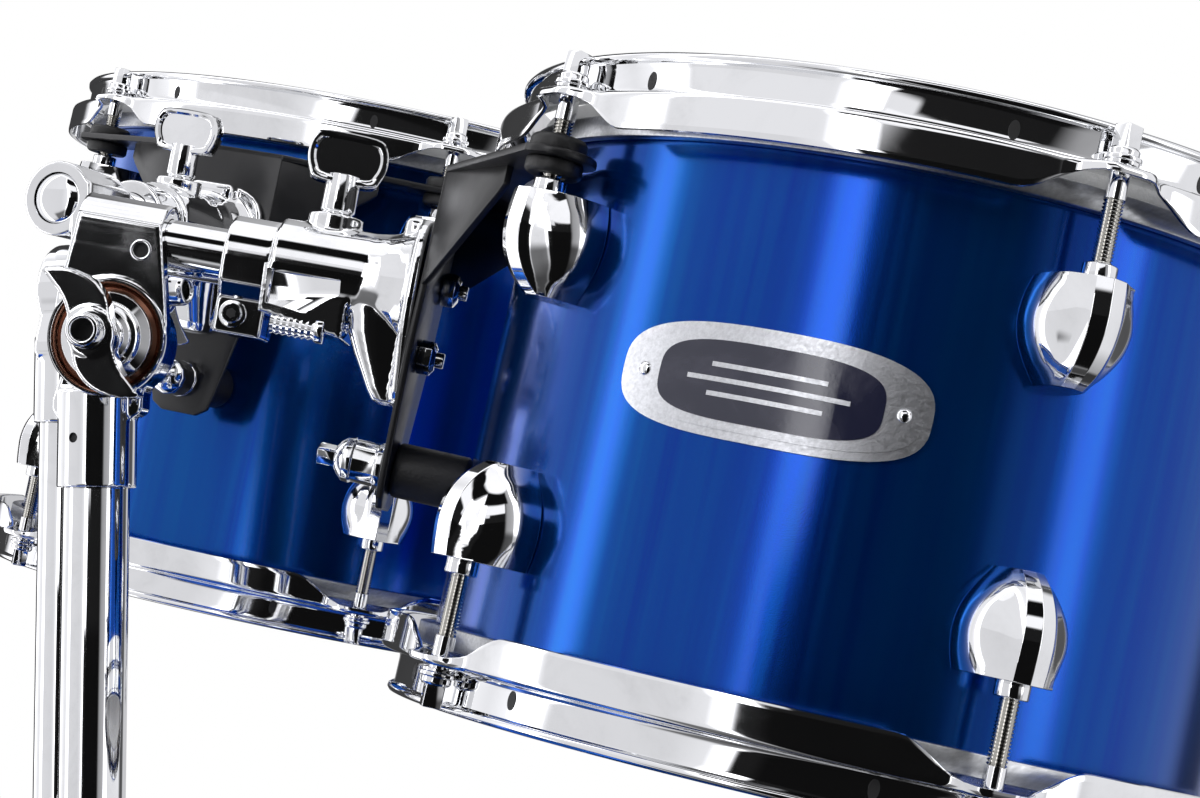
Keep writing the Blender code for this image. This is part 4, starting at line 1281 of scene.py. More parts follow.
@dataclass
class SuspensionMount:
    """The black plate that hangs the tom by two rods, with its grommets, bumper and key bolt."""

    holder: Holder
    rod_standoff: float = ROD_STANDOFF
    flange_below: float = 0.0215
    bumper_below: float = 0.060

    def build(self) -> None:
        """Builds and dresses the plate and its rubber pieces."""
        hold = self.holder
        self.body = f"{hold.name}_tom"
        self.place = hold.tom()
        half = math.pi / hold.rods
        self.inner = hold.radius + hold.standoff
        self.flange_z = hold.below - self.flange_below
        self.rod_x = -(hold.radius + self.rod_standoff) * math.cos(half)
        self.rod_y = (hold.radius + self.rod_standoff) * math.sin(half)
        self.build_plate(half)
        self.build_grommets()
        self.build_bumper()

    def build_plate(self, half: float) -> None:
        """The pressed plate: flange, strip, wings, and nuts behind it.

        Args:
            half: Half of the angle between two rods, in radians.
        """
        hold, inner, flange_z = self.holder, self.inner, self.flange_z
        rod_x, rod_y, top, foot = self.rod_x, self.rod_y, 0.024, 0.015
        outer = inner + hold.plate
        back = arc(hold.radius + 0.0045, 180 + math.degrees(half) * 0.86, 180 - math.degrees(half) * 0.86, 25)
        ear = [(rod_x + x, rod_y + y) for x, y in arc(0.0125, -40, 135, 12)]
        side = ear + [(-outer + 0.002, top + 0.004), (-outer, top)]
        thick = hold.plate / 2
        form = Form().prism(back + mirrored(side), flange_z - thick, flange_z + thick, bevel=0.0006)
        foot_z = -self.bumper_below - 0.014
        strip = [(flange_z + thick, -top), (flange_z + thick, top), (-0.012, top), (-0.024, top - 0.0006),
                 (foot_z + 0.010, foot), (foot_z + 0.003, foot - 0.002), (foot_z, foot - 0.007)]
        outline = strip + [(x, -y) for x, y in reversed(strip[2:])]
        upright = move(-inner, 0, 0) @ turn("Y", -90)
        form.prism(outline, 0.0, hold.plate, upright, bevel=0.0006)
        reach = Vector((rod_x + inner, rod_y - top)).length * 0.62
        heading = math.degrees(math.atan2(rod_y - top, rod_x + inner))
        wing = [(-0.0005, flange_z), (reach, flange_z), (reach, flange_z - 0.007), (reach - 0.003, flange_z - 0.010),
                (-0.0005, flange_z - 0.040)]
        for sign in (1, -1):
            place = move(-inner - thick, sign * (top - thick), 0) @ turn("Z", sign * heading) @ turn("X", 90)
            form.prism(wing, -thick, thick, place, bevel=0.0005)
        for height, across in ((0.004, 0.014), (-0.022, -0.006)):
            nut = move(-inner + 0.0002, across, height) @ turn("Y", 90)
            form.spun([(0, 0.0058), (0.0036, 0.0058), (0.0058, 0.0045), (0.0058, 0.0), (0, 0.0)], 6, nut, slot=1,
                      bevel=0.0003)
            form.rod(0.0026, 0.0, 0.0085, nut, slot=2, steps=18, bevel=0.0004)
        dress(form, f"{hold.name}_pressed_plate", Home(self.body, self.place, (f"{hold.name}_suspension_plate",)),
              (BLACK_STEEL, CHROME, THREAD))

    def build_grommets(self) -> None:
        """The two rubber grommets on the rods, waisted where they grip the flange."""
        thick = self.holder.plate / 2
        top, under = self.flange_z + thick, self.flange_z - thick
        ring = [(0.0078, top + 0.0048), (0.0088, top + 0.0034), (0.0088, top + 0.0002), (0.0064, top),
                (0.0064, under), (0.0088, under - 0.0002), (0.0088, under - 0.0036), (0.0078, under - 0.0046),
                (0.0040, under - 0.0046), (0.0040, top + 0.0048)]
        for word, sign in (("left", 1), ("right", -1)):
            form = Form().spun(ring, 40, move(self.rod_x, sign * self.rod_y, 0), closed=True, bevel=0.0004)
            dress(form, f"{self.holder.name}_rubber_grommet_{word}",
                  Home(self.body, self.place, (f"{self.holder.name}_grommet_{word}",)), (RUBBER,))

    def build_bumper(self) -> None:
        """The rubber bumper against the shell and the key bolt that holds it."""
        name = self.holder.name
        along = move(-self.inner + GAP, 0, -self.bumper_below) @ turn("Y", 90)
        length = self.holder.standoff - 2 * GAP
        form = Form().spun([(0, length), (0.0078, length), (0.0092, length - 0.0014), (0.0092, 0.0010),
                            (0.0086, 0.0), (0, 0.0)], 48, along, bevel=0.0004)
        dress(form, f"{name}_rubber_bumper", Home(self.body, self.place, (f"{name}_bumper",)), (RUBBER,))
        out = -self.holder.plate - 2 * GAP
        bolt = [(0, out), (0.0070, out), (0.0078, out - 0.0012), (0.0078, out - 0.0030), (0.0073, out - 0.0036),
                (0.0073, out - 0.0110), (0.0078, out - 0.0116), (0.0076, out - 0.0140), (0.0062, out - 0.0158),
                (0.0046, out - 0.0170), (0.0036, out - 0.0176), (0, out - 0.0176)]
        form = Form().spun(bolt, 12, along, bevel=0.0003)
        half = 0.0028
        form.box((-half, -half, out - 0.0235), (half, half, out - 0.0165), along @ turn("Z", 30), bevel=0.0005)
        dress(form, f"{name}_bumper_key_bolt", Home(self.body, self.place, (f"{name}_bumper_bolt",)), (CHROME,),
              angle=24)


@dataclass
class BracketCasting:
    """The casting between plate and arm, its wing bolt, and the memory lock beside it."""

    holder: Holder
    arm_radius: float = ARM_RADIUS
    lock_back: float = 0.0598

    def build(self) -> None:
        """Builds and dresses the bracket, its wing bolt and the memory lock."""
        hold = self.holder
        name = hold.name
        face = -hold.radius - hold.standoff - hold.plate - GAP
        level = hold.tom() @ move(face, 0, 0) @ turn("Y", -hold.pitch)
        along = turn("Y", 90)
        form = Form().rod(0.0165, -0.0510, -0.0100, along, steps=64)
        form.spun([(0, -0.0010), (0.0226, -0.0010), (0.0216, -0.0040), (0.0192, -0.0085), (0.0173, -0.0140),
                   (0.0165, -0.0200), (0, -0.0200)], 64, along)
        rim = through([(0.0228, -0.010), (0.0228, 0.010), (0.014, 0.0215), (-0.012, 0.0225), (-0.030, 0.0150),
                       (-0.0395, 0.0080), (-0.0395, -0.0080), (-0.030, -0.0150), (-0.012, -0.0225),
                       (0.014, -0.0215)], 4)
        form.prism(rim, 0.0004, 0.0044, turn("Y", -90), bevel=0.0012)
        form.box((-0.0105, -0.0100, 0.0100), (-0.0012, 0.0100, 0.0234), bevel=0.0025)
        horn = []
        for depth, reach, wide in ((0.004, 0.0235, 0.0150), (0.011, 0.0238, 0.0142), (0.018, 0.0222, 0.0128),
                                   (0.025, 0.0188, 0.0114), (0.031, 0.0154, 0.0103), (0.036, 0.0126, 0.0095),
                                   (0.0393, 0.0102, 0.0084)):
            middle, deep = -0.0008 - reach / 2, reach / 2
            horn.append([(middle + x, y, -depth) for x, y in superellipse(deep, wide, 4.2, 48)])
        form.loft(horn)
        cheeks = [[(x, sign * wide, low - slope * (x + 0.0530))
                   for x, sign in ((-0.0530, -1), (-0.0240, -1), (-0.0240, 1), (-0.0530, 1))]
                  for wide, low, slope in ((0.0158, -0.0010, 0.0), (0.0116, -0.0168, 0.16))]
        form.loft(cheeks)
        bolt_place = move(-0.0350, 0, 0)
        form.rod(0.0092, 0.010, 0.0200, bolt_place, steps=40)
        tube = Form().rod(self.arm_radius + GAP, -0.0600, -0.0060, along, steps=64)
        hole = Form().rod(BOLT_HOLE, 0.0, 0.030, bolt_place, steps=32)
        slit = Form().box((-0.060, -0.0009, -0.030), (-0.0250, 0.0009, -0.0050))
        inset, insets = [(-0.0122, -0.0046), (0.0124, -0.0072), (0.0124, 0.0066), (-0.0122, 0.0066)], Form()
        slant = move(-0.0385, -0.0122, -0.0094) @ turn("Z", -11) @ turn("X", 90)
        for sign in (1, -1):
            insets.prism(inset, 0.0, 0.008, Matrix.Diagonal((1, sign, 1, 1)) @ slant, bevel=0.0004)
        cast = form.cast(0.0006, 5, insets, hole, slit, tube)
        spring = move(0, -0.0085, -0.0195) @ along
        cast.screw(0.0040, -0.0480, -0.0310, 28, spring, slot=0, pitch=0.0020)
        cast.spun([(0, -0.0300), (0.0046, -0.0300), (0.0046, -0.0330), (0, -0.0330)], 28, spring, bevel=0.0004)
        dress(cast, f"{name}_bracket_casting", Home(f"{name}_tom", level, (f"{name}_tom_bracket",)),
              (CAST_CHROME,), angle=45)
        bolt = wing_bolt(self.arm_radius + 3 * GAP, 0.0203, 0.0320, 0.0135)
        turned = turn("Z", 12 if hold.side > 0 else 98)
        dress(Form().copies(bolt, [turned]), f"{name}_wing_bolt",
              Home(f"{name}_bracket_bolt", level @ bolt_place, (f"{name}_bracket_wing_bolt",)),
              (CHROME, THREAD))
        self.build_lock()

    def build_lock(self) -> None:
        """The memory lock: a strap round the arm whose tail a key bolt closes."""
        name = self.holder.name
        place = self.holder.arm() @ move(self.holder.reach - self.lock_back, 0, 0)
        across = turn("Z", 90) @ turn("X", 90)
        strap = arc(0.0147, 0, 180, 33) + [(-0.0140, -0.0080), (-0.0100, -0.0140), (-0.0098, -0.0255),
                                           (0.0098, -0.0255), (0.0100, -0.0140), (0.0140, -0.0080)]
        form = Form().prism(strap, -0.0082, 0.0082, across, bevel=0.0007)
        tube = Form().rod(self.arm_radius + GAP, -0.02, 0.02, turn("Y", 90), steps=64)
        slit = Form().box((-0.02, 0.0012, -0.03), (0.02, 0.0026, -0.0050))
        cast = form.cast(0.00055, 3, slit, tube)
        screw = move(-0.0018, -0.0096, -0.0188) @ turn("X", 90)
        cast.spun([(0, 0.0034), (0.0016, 0.0034), (0.0016, 0.0030), (0.0030, 0.0030), (0.0034, 0.0024),
                   (0.0034, 0.0014), (0.0044, 0.0012), (0.0047, 0.0006), (0.0047, -0.0010), (0, -0.0010)], 32, screw)
        # Painted shade: a near-black hexagon on the screw head stands for its key socket.
        cast.rod(0.0017, 0.0026, 0.0036, screw, slot=1, steps=6)
        dress(cast, f"{name}_memory_clamp", Home(f"{name}_lock", place, (f"{name}_memory_lock",)),
              (CAST_CHROME, RECESS_SHADE), angle=42)


@dataclass
class TilterHead:
    """The post, the two halves of the tilter, the arm and the wing nut."""

    holder: Holder
    post_radius: float = POST_RADIUS
    arm_radius: float = ARM_RADIUS
    post_foot: float = 0.500
    sleeve_top: float = -0.0275
    sleeve_foot: float = -0.0500
    web_low: float = 0.0066
    web_high: float = 0.0145

    def build(self) -> None:
        """Builds and dresses every piece of the tilter."""
        self.build_tubes()
        self.build_lower()
        self.build_upper()
        self.build_nut()

    def build_tubes(self) -> None:
        """The post and the arm as chromed tubes."""
        hold, name = self.holder, self.holder.name
        top = hold.hinge_z + self.sleeve_top - 0.004
        radius, foot, wall = self.post_radius, self.post_foot, 0.0020
        post = Form().spun([(0, top), (radius, top), (radius, foot), (radius - wall, foot),
                            (radius - wall, top - 0.010), (0, top - 0.010)], 72, bevel=0.0005)
        dress(post, f"{name}_chromed_post", Home(f"{name}_post", hold.post(), (f"{name}_post",)), (CHROME,))
        radius, start, end = self.arm_radius, -0.0170, hold.reach - 0.0200
        arm = Form().spun([(0, end), (radius, end), (radius, start), (0.9 * radius, start - 0.0012),
                           (0.6 * radius, start - 0.0022), (0, start - 0.0026)], 64, turn("Y", 90))
        dress(arm, f"{name}_chromed_arm", Home(f"{name}_tilter", hold.arm(), (f"{name}_arm",)), (CHROME,))

    def build_lower(self) -> None:
        """The lower casting: post sleeve, neck and the clutch disc behind the upper half."""
        hold, name = self.holder, self.holder.name
        at_hinge = move(hold.ahead, 0, 0) @ turn("X", 90)
        form = Form().rod(0.0132, self.sleeve_foot + 0.0006, -0.0170, steps=56)
        form.rod(0.0187, -0.0074, 0.0058, at_hinge, steps=72)
        cup = through([(-0.0125, -0.0260), (0.0130, -0.0260), (0.0165, -0.0180), (0.0180, -0.0060),
                       (-0.0040, -0.0020), (-0.0115, -0.0120)], 4)
        form.prism(cup, -0.0070, 0.0060, turn("X", 90), bevel=0.0010)
        tube = Form().rod(self.post_radius + GAP, self.sleeve_foot - 0.01, self.sleeve_top, steps=64)
        hinge = Form().rod(HINGE_HOLE, -0.02, 0.02, at_hinge, steps=32)
        pin = turn("Z", -22) @ move(0, 0, -0.0330) @ turn("X", 90)
        cast = form.cast(0.0006, 6, Form().rod(0.0017, 0.0105, 0.016, pin, steps=20), hinge, tube)
        # Painted shade: a near-black disc inside the pin's bore, where its depth would be in shade.
        cast.rod(0.0016, 0.0112, 0.0122, pin, slot=1, steps=20)
        dress(cast, f"{name}_tilter_foot", Home(f"{name}_swivel", hold.swivel(), (f"{name}_tilter_lower",)),
              (CAST_CHROME, RECESS_SHADE), angle=45)

    def build_upper(self) -> None:
        """The upper casting: arm sleeve, flat web and clutch disc, with its set screw."""
        hold, name = self.holder, self.holder.name
        lift, low, high = hold.lift, self.web_low, self.web_high
        across = turn("X", 90)
        sleeve = move(0, 0, lift) @ turn("Y", 90)
        form = Form().rod(0.0140, -0.0180, 0.0108, sleeve, steps=72)
        form.rod(0.0196, low, high, across, steps=96)
        web = [(-0.0190, 0.0020), (0.0192, 0.0030), (0.0186, 0.0080), (0.0106, lift + 0.006),
               (-0.0176, lift + 0.006), (-0.0186, lift - 0.010), (-0.0196, 0.012)]
        form.prism(web, low + 0.0002, high - 0.0003, across, bevel=0.0004)
        tube = Form().rod(self.arm_radius + GAP, -0.0400, 0.02, sleeve, steps=64)
        hinge = Form().rod(HINGE_HOLE, -0.02, 0.03, across, steps=32)
        groove = Form().spun([(0.0150, high + 0.004), (0.0150, high - 0.0013), (0.0181, high - 0.0013),
                              (0.0181, high + 0.004)], 96, across, closed=True)
        screw = move(0.0057, 0, lift - 0.0035) @ turn("X", 90)
        cast = form.cast(0.00055, 4, groove, Form().rod(0.0026, 0.0, 0.03, screw, steps=28), hinge, tube)
        cast.spun([(0.0036, high + 0.0002), (0.0036, high - 0.0020), (0.0026, high - 0.0020),
                   (0.0026, high + 0.0002)], 32, screw, closed=True, bevel=0.0002)
        cast.spun([(0.0180, high - 0.0016), (0.0180, high + 0.0008), (0.0185, high + 0.0015), (0.0192, high + 0.0015),
                   (0.0198, high + 0.0006), (0.0198, high - 0.0016)], 120, across, closed=True)
        # Painted shade: a near-black disc down the set screw's bore, where its depth would be in shade.
        cast.rod(0.0026, high - 0.0040, high - 0.0020, screw, slot=1, steps=20)
        ring = [(0.0152, high - 0.0018), (0.0152, high - 0.0002), (0.0166, high - 0.0008), (0.0179, high + 0.0006),
                (0.0179, high - 0.0018)]
        cast.spun(ring, 96, across, slot=2, closed=True)
        dress(cast, f"{name}_tilter_head", Home(f"{name}_tilter", hold.tilt(), (f"{name}_tilter_upper",)),
              (CAST_CHROME, RECESS_SHADE, FRICTION), angle=45)

    def build_nut(self) -> None:
        """The stepped washers, the bolt, and the wing nut with its hollow boss and two swept wings."""
        hold, name = self.holder, self.holder.name
        seat = self.web_high + GAP
        steps = [(0, seat), (0.0150, seat), (0.0150, seat + 0.0012), (0.0118, seat + 0.0022), (0.0118, seat + 0.0040),
                 (0.0108, seat + 0.0048), (0.0092, seat + 0.0050), (0.0092, seat + 0.0066), (0.0074, seat + 0.0072),
                 (0.0074, seat + 0.0100), (0, seat + 0.0100)]
        form = Form().spun(steps, 72, bevel=0.0002)
        form.screw(0.0041, -0.0135, seat + 0.002, 24)
        rim = [(0.0062, seat + 0.009), (0.0058, 0.0440), (0.0052, 0.0458), (0.0040, 0.0460), (0.0034, 0.0450),
               (0.0033, 0.0360), (0.0040, seat + 0.009)]
        form.spun(rim, 48, closed=True, bevel=0.0003)
        # Painted shade: a near-black disc inside the hollow boss, where its depth would be in shade.
        form.rod(0.0035, 0.0355, 0.0370, slot=2, steps=24)
        wing = [(0.0015, -0.0080), (0.0085, -0.0098), (0.0160, -0.0082), (0.0222, -0.0030), (0.0258, 0.0042),
                (0.0226, 0.0040), (0.0150, 0.0030), (0.0085, 0.0040), (0.0045, 0.0068)]
        outline = through([*wing, *[(-x, -y) for x, y in wing]], 4)
        place = turn("Z", -52)
        middle = seat + 0.0170
        swept = Form().prism(outline, middle - 0.0045, middle + 0.0045, place, bevel=0.0009, segments=3)
        swept.rod(0.0078, seat + 0.0095, middle + 0.0050, steps=40)
        nut = swept.cast(0.0005, 3)
        form.copies(nut, [Matrix()])
        dress(form, f"{name}_wing_nut", Home(f"{name}_tilter_nut", hold.tilt() @ turn("X", 90),
              (f"{name}_tilter_wing_nut",)), (CHROME, THREAD, RECESS_SHADE), angle=42)


# --------------------------------------------------------------------------- bass drum


@dataclass
class BassDrum:
    """The bass drum that stands under the toms: shell, heads, hoops, claws, lugs and post base."""

    radius: float = 0.2795
    depth: float = 0.457
    wall: float = 0.0075
    middle_y: float = 0.030
    hoop_out: float = 0.011
    hoop_proud: float = 0.033
    facets: int = 48
    lugs: int = 8
    rod_standoff: float = 0.021
    steps: int = 240

    def build(self) -> None:
        """Builds and dresses every piece of the bass drum."""
        self.centre_z = (self.radius + self.hoop_out) * math.cos(math.pi / self.facets)
        self.place = KIT_PLACE @ move(0, self.middle_y, self.centre_z) @ turn("X", -90)
        self.lacquer = lacquer_for("bass_blue_lacquer", self.place)
        self.angles = [(k + 0.5) * 360.0 / self.lugs for k in range(self.lugs)]
        self.build_shell()
        for end, flip in (("batter", False), ("front", True)):
            self.build_end(end, flip)
        self.build_base()

    def build_shell(self) -> None:
        """The shell and its lugs."""
        half = self.depth / 2
        form = shell_form(self.radius - 0.0004, self.radius - self.wall, -half, half, 0.0026, 0.005, self.steps)
        dress(form, "bass_lacquered_shell", Home("bass_drum", self.place, ("bass_shell",)), (self.lacquer, PLY),
              angle=30)
        lug = Form()
        # along, half-width, shoulder height, strip half-width, ridge height
        stations = ((0.0, 0.0122, 0.0130, 0.0032, 0.0270), (0.55, 0.0108, 0.0110, 0.0032, 0.0225),
                    (0.92, 0.0076, 0.0060, 0.0028, 0.0140), (1.0, 0.0062, 0.0048, 0.0024, 0.0118))
        sections = []
        for k in range(15):
            t = k / 14
            wide, rise, strip, ridge = blended(stations, t)
            half_line = [(-0.0010, 0.9 * wide), (rise, wide), (0.5 * (rise + ridge) - 0.0016, 0.5 * (wide + strip)),
                         (ridge - 0.002, strip)]
            outline = mirrored(half_line, (ridge, 0.0))
            sections.append([(x, y, -t * 0.050) for x, y in outline])
        lug.loft(sections)
        lug.rod(0.0050, -0.001, 0.0035, move(self.rod_standoff, 0, 0), steps=24, bevel=0.0004)
        places = [turn("Z", angle) @ move(self.radius, 0, sign * (half - 0.050)) @ turn("X", 90 + sign * 90)
                  for sign in (1, -1) for angle in self.angles]
        dress(Form().copies(lug, places), "bass_lugs_cast", Home("bass_drum", self.place), (CHROME,), 0.0003, 26)

    def build_end(self, end: str, flip: bool) -> None:
        """A head, its wooden hoop, and the claws with their T-rods.

        Args:
            end: Name of the head.
            flip: True for the front.
        """
        radius = self.radius
        half = self.depth / 2
        place = self.place @ (move(0, 0, -half) @ turn("X", 180) if flip else move(0, 0, half))
        film = BLACK_HEAD if flip else COATED
        form = head_form(radius, 0.006, (0.0068, -0.0056, -0.0120), 0.0008, self.steps)
        dress(form, f"bass_{end}_film", Home("bass_drum", place, (f"bass_{end}_head",)), (film, FLESH))
        outer = (radius + self.hoop_out) * math.cos(math.pi / self.facets)
        ring = [(outer, self.hoop_proud - 0.001), (outer, -0.0034), (outer - 0.001, -0.0044),
                (radius + 0.0032, -0.0044), (radius + 0.0022, -0.0034), (radius + 0.0022, self.hoop_proud - 0.001),
                (radius + 0.0032, self.hoop_proud), (outer - 0.001, self.hoop_proud)]
        hoop = Form().spun(ring, self.steps, closed=True)
        dress(hoop, f"bass_{end}_wooden_hoop", Home("bass_drum", place, (f"bass_{end}_hoop",)), (self.lacquer,),
              angle=30)
        claw = Form()
        proud, rod = self.hoop_proud, self.rod_standoff
        hook = [(0.0042, proud - 0.010), (0.0042, proud + 0.0028), (0.0190, proud + 0.0028),
                (0.0268, proud - 0.0010), (0.0268, proud - 0.0110), (0.0150, proud - 0.0118),
                (0.0128, proud - 0.0060), (0.0128, proud + 0.0004), (0.0072, proud + 0.0004),
                (0.0072, proud - 0.010)]
        claw.prism(hook, -0.0108, 0.0108, turn("X", 90), bevel=0.0008)
        stem = [(0, proud + 0.0118), (0.0046, proud + 0.0118), (0.0050, proud + 0.0070), (0.0056, proud + 0.0052),
                (0.0056, proud + 0.0030), (0.0032, proud + 0.0026), (0.0032, -0.016), (0, -0.016)]
        claw.spun(stem, 28, move(rod, 0, 0), bevel=0.0002)
        claw.screw(0.0031, -0.0500, -0.0155, 18, move(rod, 0, 0))
        sign = -1 if flip else 1
        places = [turn("Z", sign * angle) @ move(radius, 0, 0) for angle in self.angles]
        dress(Form().copies(claw, places), f"bass_{end}_claws", Home("bass_drum", place), (CHROME, THREAD))

    def build_base(self) -> None:
        """The post base on top of the shell, with its two wing bolts."""
        place = KIT_PLACE @ move(0, 0, self.centre_z + self.radius)
        posts = [move(holder.side * holder.spread, 0, 0) for holder in (NEAR, FAR)]
        boss = move(0, 0, 0.030) @ turn("X", 90)
        tubes, holes = Form(), Form()
        form = Form().box((-0.0775, -0.0315, -0.0120), (0.0775, 0.0315, 0.0095), bevel=0.004, segments=3)
        for post in posts:
            form.spun([(0, 0.0455), (0.0168, 0.0455), (0.0172, 0.012), (0.0200, 0.006), (0, 0.006)], 64, post)
            form.rod(0.0085, 0.0100, 0.0258, post @ boss, steps=36)
            tubes.rod(POST_RADIUS + GAP, -0.03, 0.06, post, steps=64)
            holes.rod(BOLT_HOLE, 0.005, 0.04, post @ boss, steps=28)
        saddle = Form().rod(self.radius - GAP, -0.1, 0.1, move(0, 0, -self.radius) @ turn("X", 90), steps=240)
        cast = form.cast(0.0009, 5, holes, tubes, saddle)
        dress(cast, "post_base_casting", Home("bass_drum", place, ("receiver_base",)), (CAST_CHROME,), angle=45)
        for word, post in zip(("right", "left"), posts):
            bolt = wing_bolt(POST_RADIUS + 3 * GAP, 0.0263, 0.036, 0.0140)
            dress(bolt, f"base_wing_bolt_{word}",
                  Home(f"receiver_bolt_{word}", place @ post @ boss, (f"receiver_wing_bolt_{word}",)),
                  (CHROME, THREAD))


@dataclass
class Spur:
    """A spur: its bracket on the bass drum, the swinging leg and the sliding foot."""

    word: str
    sign: int
    drum: BassDrum
    y: float = -0.060
    z: float = 0.215
    offset: float = 0.0300
    splay: float = 24.0
    swing: float = 30.0
    tip: float = 0.0050

    def build(self) -> None:
        """Builds and dresses the spur's three pieces."""
        drum = self.drum
        wall_x = math.sqrt(drum.radius ** 2 - (self.z - drum.centre_z) ** 2)
        side = Matrix() if self.sign > 0 else turn("Z", 180)
        seat = KIT_PLACE @ move(0, self.y, 0) @ side @ move(wall_x, 0, self.z) @ turn("Y", -self.splay)
        out = turn("Y", 90)
        form = Form().box((-0.020, -0.0255, -0.0295), (0.0095, 0.0255, 0.0335), bevel=0.004, segments=3)
        form.spun([(0, 0.0156), (0.0222, 0.0156), (0.0230, 0.0130), (0.0230, 0.0), (0, 0.0)], 72, out)
        core = seat.inverted() @ KIT_PLACE @ move(0, 0, drum.centre_z) @ turn("X", 90)
        saddle = Form().rod(drum.radius - GAP, -0.3, 0.3, core, steps=240)
        hole = Form().rod(0.0050, 0.003, 0.03, out, steps=28)
        dress(form.cast(0.0009, 5, hole, saddle), f"spur_mount_{self.word}",
              Home("bass_drum", seat, (f"spur_bracket_{self.word}",)), (CAST_CHROME,), angle=45)
        turned = seat @ turn("X", -self.sign * self.swing)
        down = move(self.offset, 0, 0)
        leg = Form().spun([(0, 0.0168), (0.0205, 0.0168), (0.0213, 0.0178), (0.0213, 0.0250), (0.0150, 0.0320),
                           (0, 0.0328)], 64, out)
        leg.rod(0.0098, -0.1445, -0.0080, down, steps=48)
        leg.rod(0.0115, -0.1445, -0.1200, down, steps=48, bevel=0.001)
        cast = leg.cast(0.0008, 4, Form().rod(0.0064, -0.1500, -0.0300, down, steps=40))
        cast.rod(0.0043, 0.004, 0.0200, out, steps=24)
        dress(cast, f"spur_tube_{self.word}", Home(f"spur_{self.word}", turned, (f"spur_leg_{self.word}",)),
              (CAST_CHROME,), angle=45)
        lean = math.acos(math.cos(math.radians(self.splay)) * math.cos(math.radians(self.swing)))
        height = self.z + self.offset * math.sin(math.radians(self.splay))
        length = (height - self.tip * math.sin(lean)) / math.cos(lean)
        foot = Form().rod(0.0059, -length + 0.020, -0.040, down, steps=40, bevel=0.0006)
        foot.spun([(0, -length + 0.026), (0.0078, -length + 0.026), (0.0094, -length + 0.020),
                   (0.0094, -length + 0.007), (self.tip, -length + 0.0003), (0, -length + 0.0003)], 48, down, slot=1,
                  bevel=0.0008)
        dress(foot, f"spur_rod_{self.word}", Home(f"spur_point_{self.word}", turned, (f"spur_foot_{self.word}",)),
              (CHROME, RUBBER))


# --------------------------------------------------------------------------- studio

# The mirrored surroundings: degrees round the camera's direction, and how bright a panel is there.
PANEL_RING = (
    (-180, 0.60), (-172, 0.30), (-166, 0.04), (-138, 0.05), (-132, 1.50), (-124, 2.40), (-118, 1.20), (-99, 0.90),
    (-91, 1.10), (-88, 3.10), (-82, 3.50), (-77, 0.80), (-40, 0.76), (-30, 0.92), (-27, 2.90), (-19, 4.00),
    (-16, 0.008), (27, 0.006), (33, 0.34), (48, 0.50), (51, 2.80), (59, 2.90), (63, 0.85), (112, 0.90),
    (120, 0.08), (134, 0.10), (140, 0.65), (180, 0.60))


